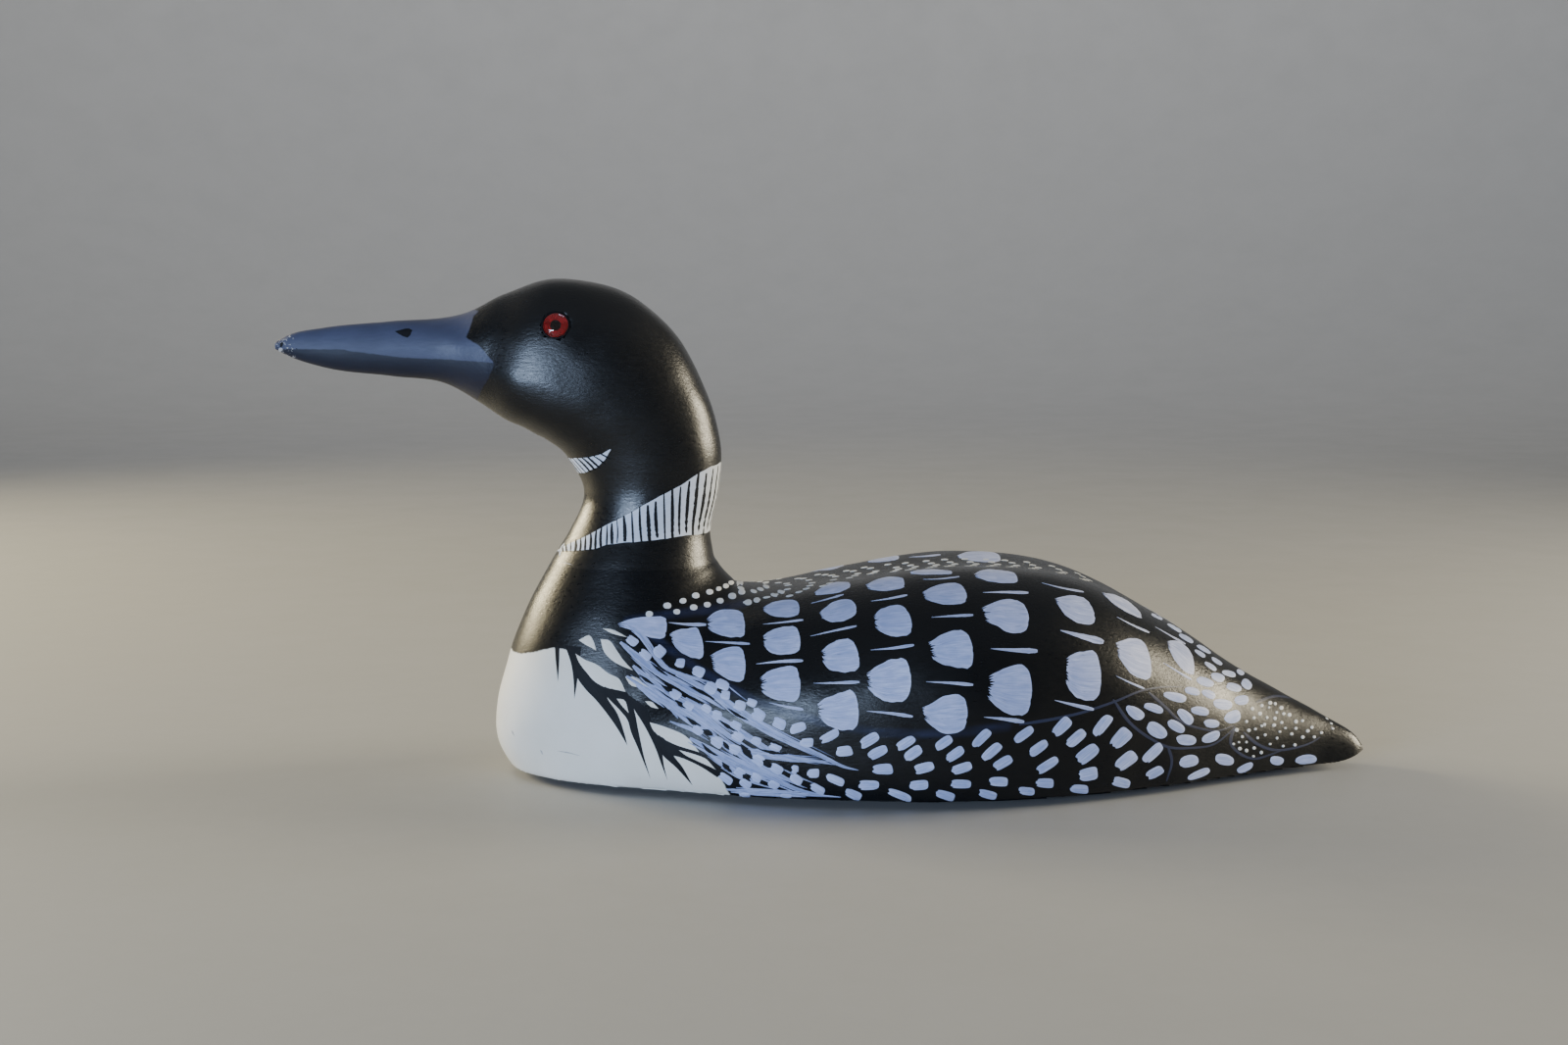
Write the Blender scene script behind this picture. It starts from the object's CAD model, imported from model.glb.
"""Loon decoy: fine carved surfaces, brushed paint marks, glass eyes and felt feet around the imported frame.

The bird faces -X and the photographed side is -Y. Lengths in the tables are millimetres, and
places read from the photograph are pixels of its 1600 x 1066 frame, carried on to the surface by
rays from the camera. Every mark is laid on both sides of the bird.
"""
import math
import random
from collections import namedtuple

import bmesh
import bpy
import numpy as np
from mathutils import Matrix, Vector, noise
from mathutils.bvhtree import BVHTree


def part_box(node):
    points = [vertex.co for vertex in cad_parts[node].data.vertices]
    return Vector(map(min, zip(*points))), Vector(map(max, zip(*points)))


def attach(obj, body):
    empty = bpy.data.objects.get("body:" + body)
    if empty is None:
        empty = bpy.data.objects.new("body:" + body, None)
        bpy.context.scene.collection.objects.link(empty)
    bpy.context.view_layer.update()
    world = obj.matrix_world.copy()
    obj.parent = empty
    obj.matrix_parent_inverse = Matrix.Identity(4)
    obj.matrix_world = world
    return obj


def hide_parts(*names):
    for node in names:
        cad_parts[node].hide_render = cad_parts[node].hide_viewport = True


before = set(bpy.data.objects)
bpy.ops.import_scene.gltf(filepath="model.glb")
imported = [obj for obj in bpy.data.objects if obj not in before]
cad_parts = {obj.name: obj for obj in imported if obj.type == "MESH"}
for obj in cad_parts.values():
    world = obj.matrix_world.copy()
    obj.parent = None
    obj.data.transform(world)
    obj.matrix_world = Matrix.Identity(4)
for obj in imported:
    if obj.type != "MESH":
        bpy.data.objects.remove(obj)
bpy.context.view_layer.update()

MM = 0.001
BODY = "root"
SIDES = (-1, 1)
AS_SEEN = (-1,)
UP = Vector((0, 0, 1))
draw = random.Random(20)

# Planes and places shared with the CAD
TIP_X = 199.2
BASE_Z = 2.8
SEAM_Z = 78.0
EYE_RADIUS = 4.6
EYE_X = -96.9
EYE_Z = 164.6
EYE_PROUD = 1.7
PAD_RADIUS = 11.0
PAD_TOP = 2.5

# Camera
PHOTO_WIDTH = 1600
PHOTO_HEIGHT = 1066
LENS = 50.0
SENSOR = 36.0
CAMERA_PLACE = (-0.03337, -0.78840, 0.19686)
CAMERA_PITCH = math.radians(7.588)
CAMERA_YAW = math.radians(1.24)
BIRD_AWAY = 790.0
PIXEL_MM = 0.362

# Half the width of the shallow dip between the folded wings
HOLLOW_REACH = 27.0

# The sanded edge of the base: heights above it and how far each is drawn in
BASE_EDGE = ((0.0, 0.8), (0.3, 0.3), (0.7, 0.08))
# Small faces of the underside, and how it turns up at the end of the tail
BASE_CELL = 5
BASE_CUTS = ((Vector((1, 0, 0)), 195), (Vector((0, 1, 0)), 60))
TAIL_LIFT_X = 184.0
TAIL_LIFT = 3.4

# Fineness of the carved surfaces, and the depth and length of the waves that sanding left
BODY_RINGS = 420
BODY_AROUND = 224
BODY_RIPPLE = (0.30, 14.0)
HEAD_RINGS = 330
HEAD_AROUND = 168
HEAD_RIPPLE = (0.26, 12.0)
RIPPLE_FADE = 12.0

# The pocket round each eye
SOCKET_REACH = 9.0
SOCKET_DEPTH = 3.0
SOCKET_EDGE = 0.3
SOCKET_SLOPE = 0.8

Section = namedtuple(
    "Section", "back_x back_z belly_x belly_z half_width widest upper_power lower_power hollow")

SECTIONS = {
    "tail tip": Section(199.2, 7.6, 199.2, 4.2, 1.2, 0.5, 2.0, 2.0, 0.0),
    "tail end": Section(196.9, 10.8, 196.9, 0.0, 3.6, 0.6, 2.0, 2.4, 0.0),
    "tail": Section(180.3, 21.2, 180.3, -4.0, 10.6, 0.62, 1.9, 3.2, 0.0),
    "tail root": Section(154.3, 35.6, 154.3, -6.0, 22.6, 0.62, 1.95, 3.8, 0.0),
    "rump": Section(124.3, 55.5, 124.3, -7.0, 39.0, 0.62, 2.15, 4.0, 0.2),
    "hips": Section(90.3, 74.5, 90.3, -8.0, 54.4, 0.63, 2.4, 4.0, 2.6),
    "middle": Section(48.4, 79.8, 48.4, -8.0, 64.0, 0.63, 2.5, 4.0, 3.8),
    "shoulders": Section(5.4, 74.4, 5.4, -8.0, 61.8, 0.62, 2.4, 4.0, 2.6),
    "saddle": Section(-21.6, 69.5, -25.6, -8.0, 56.8, 0.6, 2.15, 3.8, 0.4),
    "neck root": Section(-32.2, 69.5, -57.6, -8.0, 50.0, 0.58, 2.0, 3.0, 0.0),
    "base front": Section(-35.6, 71.5, -107.7, -6.5, 38.2, 0.53, 1.95, 2.15, 0.0),
    "breast": Section(-37.9, 73.8, -121.1, 11.5, 35.4, 0.5, 1.95, 2.0, 0.0),
    "breast top": Section(-40.5, 77.3, -116.7, 45.0, 30.6, 0.49, 1.95, 2.0, 0.0),
    "seam": Section(-42.4, 82.0, -101.3, 78.0, 24.2, 0.49, 2.0, 2.0, 0.0),
    "lower neck": Section(-43.3, 90.0, -94.0, 90.0, 20.6, 0.49, 2.0, 2.0, 0.0),
    "upper neck": Section(-40.2, 105.0, -89.1, 103.0, 19.4, 0.49, 2.0, 2.0, 0.0),
    "throat": Section(-39.4, 121.0, -94.2, 115.6, 20.8, 0.49, 2.05, 2.0, 0.0),
    "jaw": Section(-46.1, 143.6, -102.7, 122.8, 23.2, 0.54, 2.2, 2.1, 0.0),
    "back of head": Section(-55.2, 159.9, -106.2, 124.6, 24.2, 0.6, 2.25, 2.1, 0.0),
    "crown": Section(-70.7, 173.8, -110.2, 127.0, 24.0, 0.63, 2.3, 2.2, 0.0),
    "brow": Section(-97.7, 180.4, -117.2, 130.0, 22.0, 0.62, 2.3, 2.1, 0.0),
    "face": Section(-116.7, 175.0, -125.7, 135.8, 16.4, 0.56, 2.15, 2.1, 0.0),
    "bill root": Section(-131.7, 167.9, -137.7, 142.6, 11.2, 0.5, 2.0, 2.1, 0.0),
    "bill middle": Section(-157.7, 165.2, -157.7, 145.5, 7.2, 0.52, 1.9, 2.0, 0.0),
    "bill front": Section(-181.7, 162.9, -181.7, 148.6, 4.7, 0.52, 1.9, 2.0, 0.0),
    "bill point": Section(-194.7, 160.2, -194.7, 152.8, 2.5, 0.5, 2.0, 2.0, 0.0),
    "bill tip": Section(-199.2, 157.8, -199.2, 155.2, 0.9, 0.5, 2.0, 2.0, 0.0),
}

# Thickness of the paint marks, how far they reach into the wood, and the width of their thick rims
LIFT_LINE = 0.05
LIFT_BLACK = 0.06
LIFT_BAND = 0.07
LIFT_PATCH = 0.08
LIFT_DOT = 0.11
LIFT_OVAL = 0.12
LIFT_STROKE = 0.12
LIFT_WINDOW = 0.12
LIFT_BAND_LINE = 0.12
LIFT_SLIT = 0.34
LIFT_SHOULDER_DAB = 0.36
SUNK = 0.12
RIM_WIDTH = 0.9
# A dab's outline is drawn in where the surface turns away more steeply than this
STEEPEST = 4.0

# Feather patches: the grid, the points along their edges, teeth at the front and cut rear corners
FAN_COLUMNS = 29
FAN_ROWS = 16
EDGE_POINTS = 40
TEETH_A_COLUMN = 0.36
CORNER_FROM = 0.74
CORNER_CUT = 0.09


def put(name, data):
    """A new object in the scene."""
    thing = bpy.data.objects.new(name, data)
    bpy.context.scene.collection.objects.link(thing)
    return thing


# Camera and the rays it gives

camera = put("camera", bpy.data.cameras.new("camera"))
camera.location = CAMERA_PLACE
camera.rotation_euler = (math.pi / 2 - CAMERA_PITCH, 0.0, -CAMERA_YAW)
camera.data.lens = LENS
camera.data.sensor_width = SENSOR
camera.data.sensor_fit = "HORIZONTAL"
camera.data.clip_start = 0.01
bpy.context.scene.camera = camera
EYE_POINT = Vector(CAMERA_PLACE) / MM
EYE_TURN = camera.rotation_euler.to_matrix()
FOCAL = LENS / SENSOR * PHOTO_WIDTH


def sight(x, y):
    """The direction in which the camera sees a pixel of the photograph."""
    across, down = (x - PHOTO_WIDTH / 2) / FOCAL, (PHOTO_HEIGHT / 2 - y) / FOCAL
    return (EYE_TURN @ Vector((across, down, -1.0))).normalized()


def in_photo(points):
    """Where the near side's copy of each point falls in the photograph."""
    near = np.array(points, float)
    near[:, 1] = -np.abs(near[:, 1])
    local = (near - np.array(EYE_POINT)) @ np.array(EYE_TURN)
    depth = -local[:, 2]
    return np.stack([PHOTO_WIDTH / 2 + FOCAL * local[:, 0] / depth,
                     PHOTO_HEIGHT / 2 - FOCAL * local[:, 1] / depth], axis=1)


# Carved surfaces

def clamped(value):
    return min(1.0, max(0.0, value))


def steps_of(path):
    """The length of each step of a path."""
    return np.linalg.norm(np.diff(np.array(path, float), axis=0), axis=1)


def smooth_through(knots, values, at):
    """A smooth curve through every value, read at the given places."""
    slopes = np.gradient(values, knots, axis=0)
    index = np.clip(np.searchsorted(knots, at) - 1, 0, len(knots) - 2)
    span = (knots[index + 1] - knots[index])[:, None]
    u = (at[:, None] - knots[index][:, None]) / span
    return ((2 * u**3 - 3 * u**2 + 1) * values[index]
            + (u**3 - 2 * u**2 + u) * span * slopes[index]
            + (3 * u**2 - 2 * u**3) * values[index + 1]
            + (u**3 - u**2) * span * slopes[index + 1])


def section_ring(section, around):
    """Points round one section, from the back down the -Y side to the belly and up the +Y side."""
    angles = 2 * np.pi * np.arange(around) / around
    above = np.cos(angles) > 0
    power = np.where(above, section.upper_power, section.lower_power)
    reach = np.where(above, section.widest, 1 - section.widest)
    down = section.widest - np.sign(np.cos(angles)) * reach * np.abs(np.cos(angles)) ** (2 / power)
    side = -np.sign(np.sin(angles)) * section.half_width * np.abs(np.sin(angles)) ** (2 / power)
    x = section.back_x + down * (section.belly_x - section.back_x)
    z = section.back_z + down * (section.belly_z - section.back_z)
    out = np.clip(np.abs(side) / HOLLOW_REACH, 0, 1)
    z -= np.where(above, section.hollow * (1 - out**2 * (3 - 2 * out)), 0)
    return np.stack([x, side, z], axis=1)


def loft(first, last, rings, around):
    """A fine closed skin over the carving's lines, from one named section to another."""
    names = list(SECTIONS)
    table = np.array(list(SECTIONS.values()))
    back, belly = table[:, 0:2], table[:, 2:4]
    stations = np.concatenate([[0.0], np.cumsum((steps_of(back) + steps_of(belly)) / 2)])
    at = np.linspace(stations[names.index(first)], stations[names.index(last)], rings)
    points = np.concatenate(
        [section_ring(Section(*row), around) for row in smooth_through(stations, table, at)])
    faces = []
    for start in range(0, (rings - 1) * around, around):
        for i in range(around):
            j = (i + 1) % around
            faces.append((start + i, start + j, start + around + j, start + around + i))
    faces.append(tuple(range(around)))
    faces.append(tuple(reversed(range((rings - 1) * around, rings * around))))
    mesh = bpy.data.meshes.new("skin")
    mesh.from_pydata(points.tolist(), [], faces)
    bm = bmesh.new()
    bm.from_mesh(mesh)
    bpy.data.meshes.remove(mesh)
    bmesh.ops.recalc_face_normals(bm, faces=bm.faces)
    bm.normal_update()
    return bm


def cut_level(bm, height, clear_below=False, clear_above=False):
    """Cuts level at a height. Where one side is cleared, the cut is closed again."""
    geometry = bm.verts[:] + bm.edges[:] + bm.faces[:]
    bmesh.ops.bisect_plane(bm, geom=geometry, plane_co=(0, 0, height), plane_no=UP,
                           clear_inner=clear_below, clear_outer=clear_above)
    if clear_below or clear_above:
        bmesh.ops.remove_doubles(bm, verts=bm.verts, dist=0.02)
        rim = [edge for edge in bm.edges if edge.is_boundary]
        bmesh.ops.holes_fill(bm, edges=rim, sides=0)


def carve_ripple(bm, depth, scale, keep):
    """The slight waviness that hand sanding leaves, the same on both sides of the bird."""
    moves = []
    for vert in bm.verts:
        fade = keep(vert.co)
        if fade > 0:
            mirrored = Vector((vert.co.x, -abs(vert.co.y), vert.co.z))
            moves.append((vert, vert.normal * (noise.noise(mirrored / scale) * depth * fade)))
    for vert, move in moves:
        vert.co += move


def round_base_edge(bm):
    """Sandpaper has taken the sharp edge off the base."""
    for height, pull in BASE_EDGE:
        for vert in bm.verts:
            if abs(vert.co.z - BASE_Z - height) < 0.01:
                outward = Vector((vert.normal.x, vert.normal.y, 0.0))
                if outward.length > 0.05:
                    vert.co -= outward.normalized() * pull


def lift_tail_end(bm):
    """The underside turns up a little at the end of the tail."""
    for vert in bm.verts:
        past = (vert.co.x - TAIL_LIFT_X) / (TIP_X - TAIL_LIFT_X)
        if past > 0:
            vert.co.z = max(vert.co.z, BASE_Z + TAIL_LIFT * past**2)


def divide_base(bm):
    """Cuts the flat underside into small faces and returns its outline."""
    bm.verts.index_update()
    bm.edges.index_update()
    flat = [face for face in bm.faces
            if face.normal.z < -0.99 and abs(face.calc_center_median().z - BASE_Z) < 0.01]
    rim = sorted({vert for face in flat for vert in face.verts}, key=lambda vert: vert.index)
    edges = sorted({edge for face in flat for edge in face.edges}, key=lambda edge: edge.index)
    outline = np.array([vert.co.xy[:] for vert in rim])
    geometry = rim + edges + flat
    for axis, reach in BASE_CUTS:
        for place in range(-reach, reach + 1, BASE_CELL):
            cut = bmesh.ops.bisect_plane(bm, geom=geometry, plane_co=axis * place, plane_no=axis)
            geometry = cut["geom"]
    return outline


def ride_piece(name, mesh):
    """A mesh in metres becomes a piece that rides on the body."""
    piece = put(name, mesh)
    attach(piece, BODY)
    return piece


def add_piece(name, bm, material, smooth_angle=40):
    """A bmesh in millimetres becomes a smooth-shaded piece in metres that rides on the body."""
    bmesh.ops.scale(bm, vec=(MM, MM, MM), verts=bm.verts)
    mesh = bpy.data.meshes.new(name)
    bm.to_mesh(mesh)
    bm.free()
    mesh.materials.append(material)
    mesh.shade_smooth()
    mesh.set_sharp_from_angle(angle=math.radians(smooth_angle))
    return ride_piece(name, mesh)


def line_distance(points, line):
    """Distance of each point from an open line."""
    best = np.full(len(points), np.inf)
    corners = np.array(line, float)
    for one, two in zip(corners, corners[1:]):
        edge = two - one
        along = np.clip(((points - one) @ edge) / (edge @ edge), 0, 1)
        best = np.minimum(best, np.linalg.norm(points - one - along[:, None] * edge, axis=1))
    return best


def outline_distance(points, outline):
    """Distance of each point from a closed outline, positive inside it."""
    inside = np.zeros(len(points), bool)
    corners = np.array([*outline, outline[0]], float)
    for one, two in zip(corners, corners[1:]):
        crosses = (one[1] > points[:, 1]) != (two[1] > points[:, 1])
        with np.errstate(divide="ignore", invalid="ignore"):
            at = one[0] + (points[:, 1] - one[1]) / (two[1] - one[1]) * (two[0] - one[0])
        inside ^= crosses & (points[:, 0] < at)
    best = line_distance(points, corners)
    return np.where(inside, best, -best)


def set_field(piece, name, values):
    """Stores one number for each point of a piece, for its material to read."""
    field = piece.data.attributes.new(name, "FLOAT", "POINT")
    field.data.foreach_set("value", np.asarray(values, np.float32))


def piece_points(piece):
    """A piece's points in millimetres."""
    points = np.zeros(len(piece.data.vertices) * 3, np.float32)
    piece.data.vertices.foreach_get("co", points)
    return points.reshape(-1, 3) / MM


# Materials

class Nodes:
    """Short calls for building a node material."""

    def __init__(self, name):
        self.material = bpy.data.materials.new(name)
        self.material.use_nodes = True
        self.tree = self.material.node_tree

    def feed(self, node, inputs):
        """Sets a node's inputs to numbers and colours, or links them to other nodes."""
        for key, value in inputs.items():
            socket = node.inputs[key]
            if isinstance(value, bpy.types.NodeSocket):
                self.tree.links.new(value, socket)
            elif socket.type == "RGBA":
                socket.default_value = (*value, 1.0)
            else:
                socket.default_value = value

    def add(self, kind, inputs=None, **settings):
        node = self.tree.nodes.new(kind)
        for key, value in settings.items():
            setattr(node, key, value)
        self.feed(node, inputs or {})
        return node

    def noise(self, stretch, detail=3.0, rough=0.55, distortion=0.0, scale=1.0, uv=False):
        """Noise over object coordinates in millimetres, or over a mark's own brush coordinates."""
        if uv:
            source = self.add("ShaderNodeUVMap", uv_map="brush").outputs["UV"]
        else:
            source = self.add("ShaderNodeTexCoord").outputs["Object"]
            stretch = [value / MM for value in stretch]
        place = self.add("ShaderNodeMapping", {"Vector": source, "Scale": stretch}).outputs["Vector"]
        return self.add("ShaderNodeTexNoise", {
            "Vector": place, "Scale": scale, "Detail": detail, "Roughness": rough,
            "Distortion": distortion}).outputs["Fac"]

    def remap(self, value, low, high, to_low=0.0, to_high=1.0, smooth=False):
        return self.add("ShaderNodeMapRange", {
            "Value": value, "From Min": low, "From Max": high, "To Min": to_low, "To Max": to_high},
            interpolation_type="SMOOTHSTEP" if smooth else "LINEAR").outputs["Result"]

    def math(self, operation, one, two):
        return self.add("ShaderNodeMath", {0: one, 1: two}, operation=operation).outputs["Value"]

    def field(self, name):
        return self.add("ShaderNodeAttribute", attribute_name=name).outputs["Fac"]

    def mix(self, factor, one, two):
        """A colour between two colours."""
        return self.add("ShaderNodeMix", data_type="RGBA", inputs={0: factor, 6: one, 7: two}).outputs[2]

    def blend(self, factor, one, two):
        """A number between two numbers."""
        return self.add("ShaderNodeMix", data_type="FLOAT", inputs={0: factor, 2: one, 3: two}).outputs[0]

    def bump(self, height, strength, distance, **under):
        return self.add("ShaderNodeBump", {
            "Height": height, "Strength": strength, "Distance": distance * MM, **under}).outputs["Normal"]

    def finish(self, color, rough, normal, **plain):
        self.feed(self.tree.nodes["Principled BSDF"], {
            "Base Color": color, "Roughness": rough, "Normal": normal,
            **{key.replace("_", " "): value for key, value in plain.items()}})
        return self.material


BLACK = (0.0030, 0.0038, 0.0052)
BLACK_WARM = (0.0046, 0.0049, 0.0056)
CREAM = (0.78, 0.76, 0.70)
CREAM_DEEP = (0.70, 0.675, 0.60)
SLATE = (0.056, 0.066, 0.120)
SLATE_DEEP = (0.041, 0.048, 0.088)
NAVY = (0.0065, 0.0095, 0.025)
NAVY_DEEP = (0.0045, 0.0065, 0.017)
WOOD = (0.19, 0.115, 0.060)
WOOD_DARK = (0.10, 0.056, 0.028)
WORN_WOOD = (0.42, 0.40, 0.38)
WORN_DARK = (0.015, 0.013, 0.013)
MARK_LIGHT = (0.60, 0.65, 0.89)
MARK_DEEP = (0.29, 0.35, 0.60)
STROKE_LIGHT = (0.47, 0.53, 0.78)
STROKE_DEEP = (0.14, 0.20, 0.42)
DAB_LIGHT = (0.58, 0.64, 0.88)
DAB_DEEP = (0.22, 0.30, 0.60)
LINE_GREY = (0.030, 0.038, 0.078)
LINE_DEEP = (0.014, 0.018, 0.038)
HAZE_NAVY = (0.014, 0.019, 0.045)


def black_paint(nodes):
    """Satin black: colour, roughness and relief shared by the body and the head."""
    wide = nodes.noise((0.02, 0.02, 0.02), 2.0)
    color = nodes.mix(nodes.remap(wide, 0.35, 0.7), BLACK, BLACK_WARM)
    grain = nodes.noise((0.22, 0.9, 0.9), 4.0, 0.6)
    skin = nodes.noise((0.6, 1.0, 1.2), 3.0, 0.6, 0.4, scale=1.15)
    rough = nodes.math("ADD", nodes.remap(grain, 0.3, 0.7, 0.24, 0.34),
                       nodes.remap(wide, 0.3, 0.7, -0.03, 0.05))
    return color, rough, nodes.bump(grain, 0.45, 0.11, Normal=nodes.bump(skin, 0.65, 0.13))


def cream_paint(nodes):
    """The white of the breast: colour, roughness and brush marks."""
    wide = nodes.noise((0.03, 0.03, 0.03))
    color = nodes.mix(nodes.remap(wide, 0.4, 0.75), CREAM, CREAM_DEEP)
    brush = nodes.noise((0.35, 1.2, 0.12), 4.0, 0.6)
    return color, nodes.remap(brush, 0.3, 0.7, 0.42, 0.55), brush


def wavering(nodes, field, fineness, reach):
    """A field whose borders waver a little, as a brush leaves them."""
    waver = nodes.remap(nodes.noise((fineness,) * 3, 2.0), 0.0, 1.0, -reach, reach)
    return nodes.math("ADD", nodes.field(field), waver)


def body_material():
    nodes = Nodes("body_paint")
    dark, dark_rough, dark_normal = black_paint(nodes)
    # A bluish haze beside the edges of the wing
    cloud = nodes.remap(nodes.noise((0.08, 0.08, 0.25), 4.0, 0.6), 0.3, 0.6, 0.35, 1.0)
    near = nodes.remap(nodes.field("haze"), 2.6, 0.3, smooth=True)
    dark = nodes.mix(nodes.math("MULTIPLY", cloud, near), dark, HAZE_NAVY)
    pale, pale_rough, brush = cream_paint(nodes)
    white = nodes.remap(wavering(nodes, "breast", 0.6, 0.35), -0.25, 0.25)
    color = nodes.mix(white, dark, pale)
    rough = nodes.blend(white, dark_rough, pale_rough)
    # Bare wood under the base, where the paint stops a little way in from the edge
    ragged = nodes.remap(nodes.noise((0.25, 0.25, 0.25), 4.0), 0.3, 0.7, -2.2, 2.2)
    bare = nodes.remap(nodes.math("ADD", nodes.field("rim"), ragged), 3.2, 3.6)
    rings = nodes.noise((0.010, 0.35, 0.35), 5.0, 0.62, 0.6)
    fibre = nodes.noise((0.12, 3.0, 3.0))
    wood = nodes.mix(nodes.remap(rings, 0.35, 0.65), WOOD, WOOD_DARK)
    wood = nodes.mix(nodes.remap(fibre, 0.45, 0.8, 0.0, 0.5), wood, WOOD_DARK)
    color = nodes.mix(bare, color, wood)
    rough = nodes.blend(bare, rough, 0.72)
    normal = nodes.bump(brush, 0.10, 0.05, Normal=dark_normal)
    return nodes.finish(color, rough, normal, Specular_IOR_Level=0.30)


def head_material():
    nodes = Nodes("head_paint")
    dark, dark_rough, dark_normal = black_paint(nodes)
    cloud = nodes.noise((0.05, 0.12, 0.12), 4.0)
    brush = nodes.noise((0.15, 1.4, 1.4), 3.0, 0.6)
    slate = nodes.mix(nodes.remap(cloud, 0.35, 0.7), SLATE, SLATE_DEEP)
    slate = nodes.mix(nodes.remap(brush, 0.45, 0.8, 0.0, 0.5), slate, SLATE_DEEP)
    navy = nodes.mix(nodes.remap(cloud, 0.35, 0.7), NAVY, NAVY_DEEP)
    lower = nodes.remap(wavering(nodes, "lower_bill", 0.5, 0.25), -0.2, 0.2)
    bill = nodes.remap(wavering(nodes, "bill", 0.5, 0.25), -0.25, 0.25)
    color = nodes.mix(bill, dark, nodes.mix(lower, slate, navy))
    # The tip has lost its paint in small flecks
    flecks = nodes.noise((1, 1, 1), 4.0, 0.7, scale=0.9)
    worn = nodes.math("MULTIPLY", nodes.remap(flecks, 0.56, 0.60),
                      nodes.remap(nodes.field("tip"), 13.0, 1.0))
    chipped = nodes.math("GREATER_THAN", worn, 0.42)
    color = nodes.mix(chipped, color, WORN_WOOD)
    blackened = nodes.math("MULTIPLY", nodes.remap(flecks, 0.42, 0.40),
                           nodes.remap(nodes.field("tip"), 4.0, 2.5))
    color = nodes.mix(blackened, color, WORN_DARK)
    # The bill is duller towards its tip
    far_out = nodes.remap(nodes.field("bill"), 3.0, 16.0, 0.0, 0.20, smooth=True)
    bill_rough = nodes.math("ADD", far_out, nodes.remap(brush, 0.3, 0.7, 0.36, 0.44))
    rough = nodes.blend(chipped, nodes.blend(bill, dark_rough, bill_rough), 0.7)
    normal = nodes.bump(nodes.math("SUBTRACT", 1.0, worn), 0.3, 0.12, Normal=dark_normal)
    return nodes.finish(color, rough, normal, Specular_IOR_Level=0.46)


def brushed(name, light, deep, streak=0.55, thin=None, rough=(0.42, 0.55), bare=(0.60, 0.72, 0.6),
            gloss=0.35):
    """Brushed paint: streaks run along each stroke, and the ground shows where it is thin."""
    nodes = Nodes(name)
    fine = nodes.noise((0.10, 1.9, 1), 5.0, 0.7, uv=True)
    wide = nodes.noise((0.14, 0.45, 1), uv=True)
    inner = nodes.field("inner")
    streaks = nodes.math("MULTIPLY", nodes.remap(fine, 0.42, 0.62, 0.0, streak),
                         nodes.remap(inner, 0.0, 0.8, 0.45, 1.0))
    pooled = nodes.math("MULTIPLY", nodes.remap(wide, 0.36, 0.70, 0.0, streak),
                        nodes.remap(inner, 0.1, 1.0, 0.1, 1.0))
    own = nodes.remap(nodes.field("tone"), 0.0, 1.0, 0.0, 0.4 * streak)
    color = light
    for shade in (streaks, pooled, own):
        color = nodes.mix(shade, color, deep)
    if thin is not None:
        dry = nodes.noise((0.12, 1.7, 2), 4.0, 0.7, uv=True)
        color = nodes.mix(nodes.remap(dry, bare[0], bare[1], 0.0, bare[2]), color, thin)
    return nodes.finish(color, nodes.remap(fine, 0.3, 0.7, *rough), nodes.bump(fine, 0.5, 0.10),
                        Specular_IOR_Level=gloss)


def mottled(name, light, deep, scale, rough, relief=(0.3, 0.1), span=(0.4, 0.7), **plain):
    """A cloudy surface: two colours, a range of roughness and a fine relief."""
    nodes = Nodes(name)
    cloud = nodes.noise((1, 1, 1), 5.0, 0.65, scale=scale)
    return nodes.finish(nodes.mix(nodes.remap(cloud, *span), light, deep),
                        nodes.remap(cloud, 0.3, 0.7, *rough), nodes.bump(cloud, *relief), **plain)


def eye_glass_material():
    nodes = Nodes("eye_glass")
    film = nodes.noise((1, 1, 1), 2.0, scale=0.35)
    return nodes.finish(nodes.mix(film, (1.0, 0.90, 0.90), (0.97, 0.84, 0.84)),
                        nodes.remap(film, 0.3, 0.7, 0.01, 0.05), nodes.bump(film, 0.05, 0.05),
                        Transmission_Weight=1.0, IOR=1.46)


BODY_PAINT = body_material()
HEAD_PAINT = head_material()
PATCH_PAINT = brushed("feather_patch_paint", MARK_LIGHT, MARK_DEEP, 0.95, LINE_GREY)
STREAK_PAINT = brushed("shaft_streak_paint", MARK_LIGHT, STROKE_DEEP, 0.7, LINE_GREY)
SHOULDER_DAB_PAINT = brushed("shoulder_dab_paint", DAB_LIGHT, DAB_DEEP, 0.45)
DAB_PAINT = brushed("dab_paint", DAB_LIGHT, DAB_DEEP, 0.75)
DOT_PAINT = brushed("dot_paint", (0.70, 0.72, 0.74), (0.52, 0.56, 0.62))
STROKE_PAINT = brushed("bundle_stroke_paint", STROKE_LIGHT, STROKE_DEEP, 0.7, LINE_GREY,
                       bare=(0.57, 0.64, 0.8))
WINDOW_PAINT = brushed("breast_window_paint", CREAM, CREAM_DEEP, 0.3)
BLACK_STROKES = brushed("black_stroke_paint", (0.006, 0.007, 0.009), (0.012, 0.012, 0.014), 0.8,
                        rough=(0.50, 0.62), gloss=0.12)
LINE_PAINT = brushed("feather_line_paint", LINE_GREY, LINE_DEEP, 0.6, rough=(0.32, 0.45))
BAND_PAINT = brushed("necklace_paint", (0.66, 0.70, 0.78), (0.46, 0.52, 0.64), 0.5)
SCUFF_PAINT = mottled("scuff", (0.33, 0.33, 0.34), (0.55, 0.54, 0.52), 1.5, (0.5, 0.7))
IRIS = mottled("iris", (0.36, 0.004, 0.008), (0.19, 0.002, 0.004), 1.4, (0.35, 0.5), (0.1, 0.05),
               Specular_IOR_Level=0.08)
PUPIL = mottled("pupil", (0.003, 0.002, 0.002), (0.006, 0.003, 0.003), 2.0, (0.35, 0.5), (0.05, 0.02),
                Specular_IOR_Level=0.08)
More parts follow.
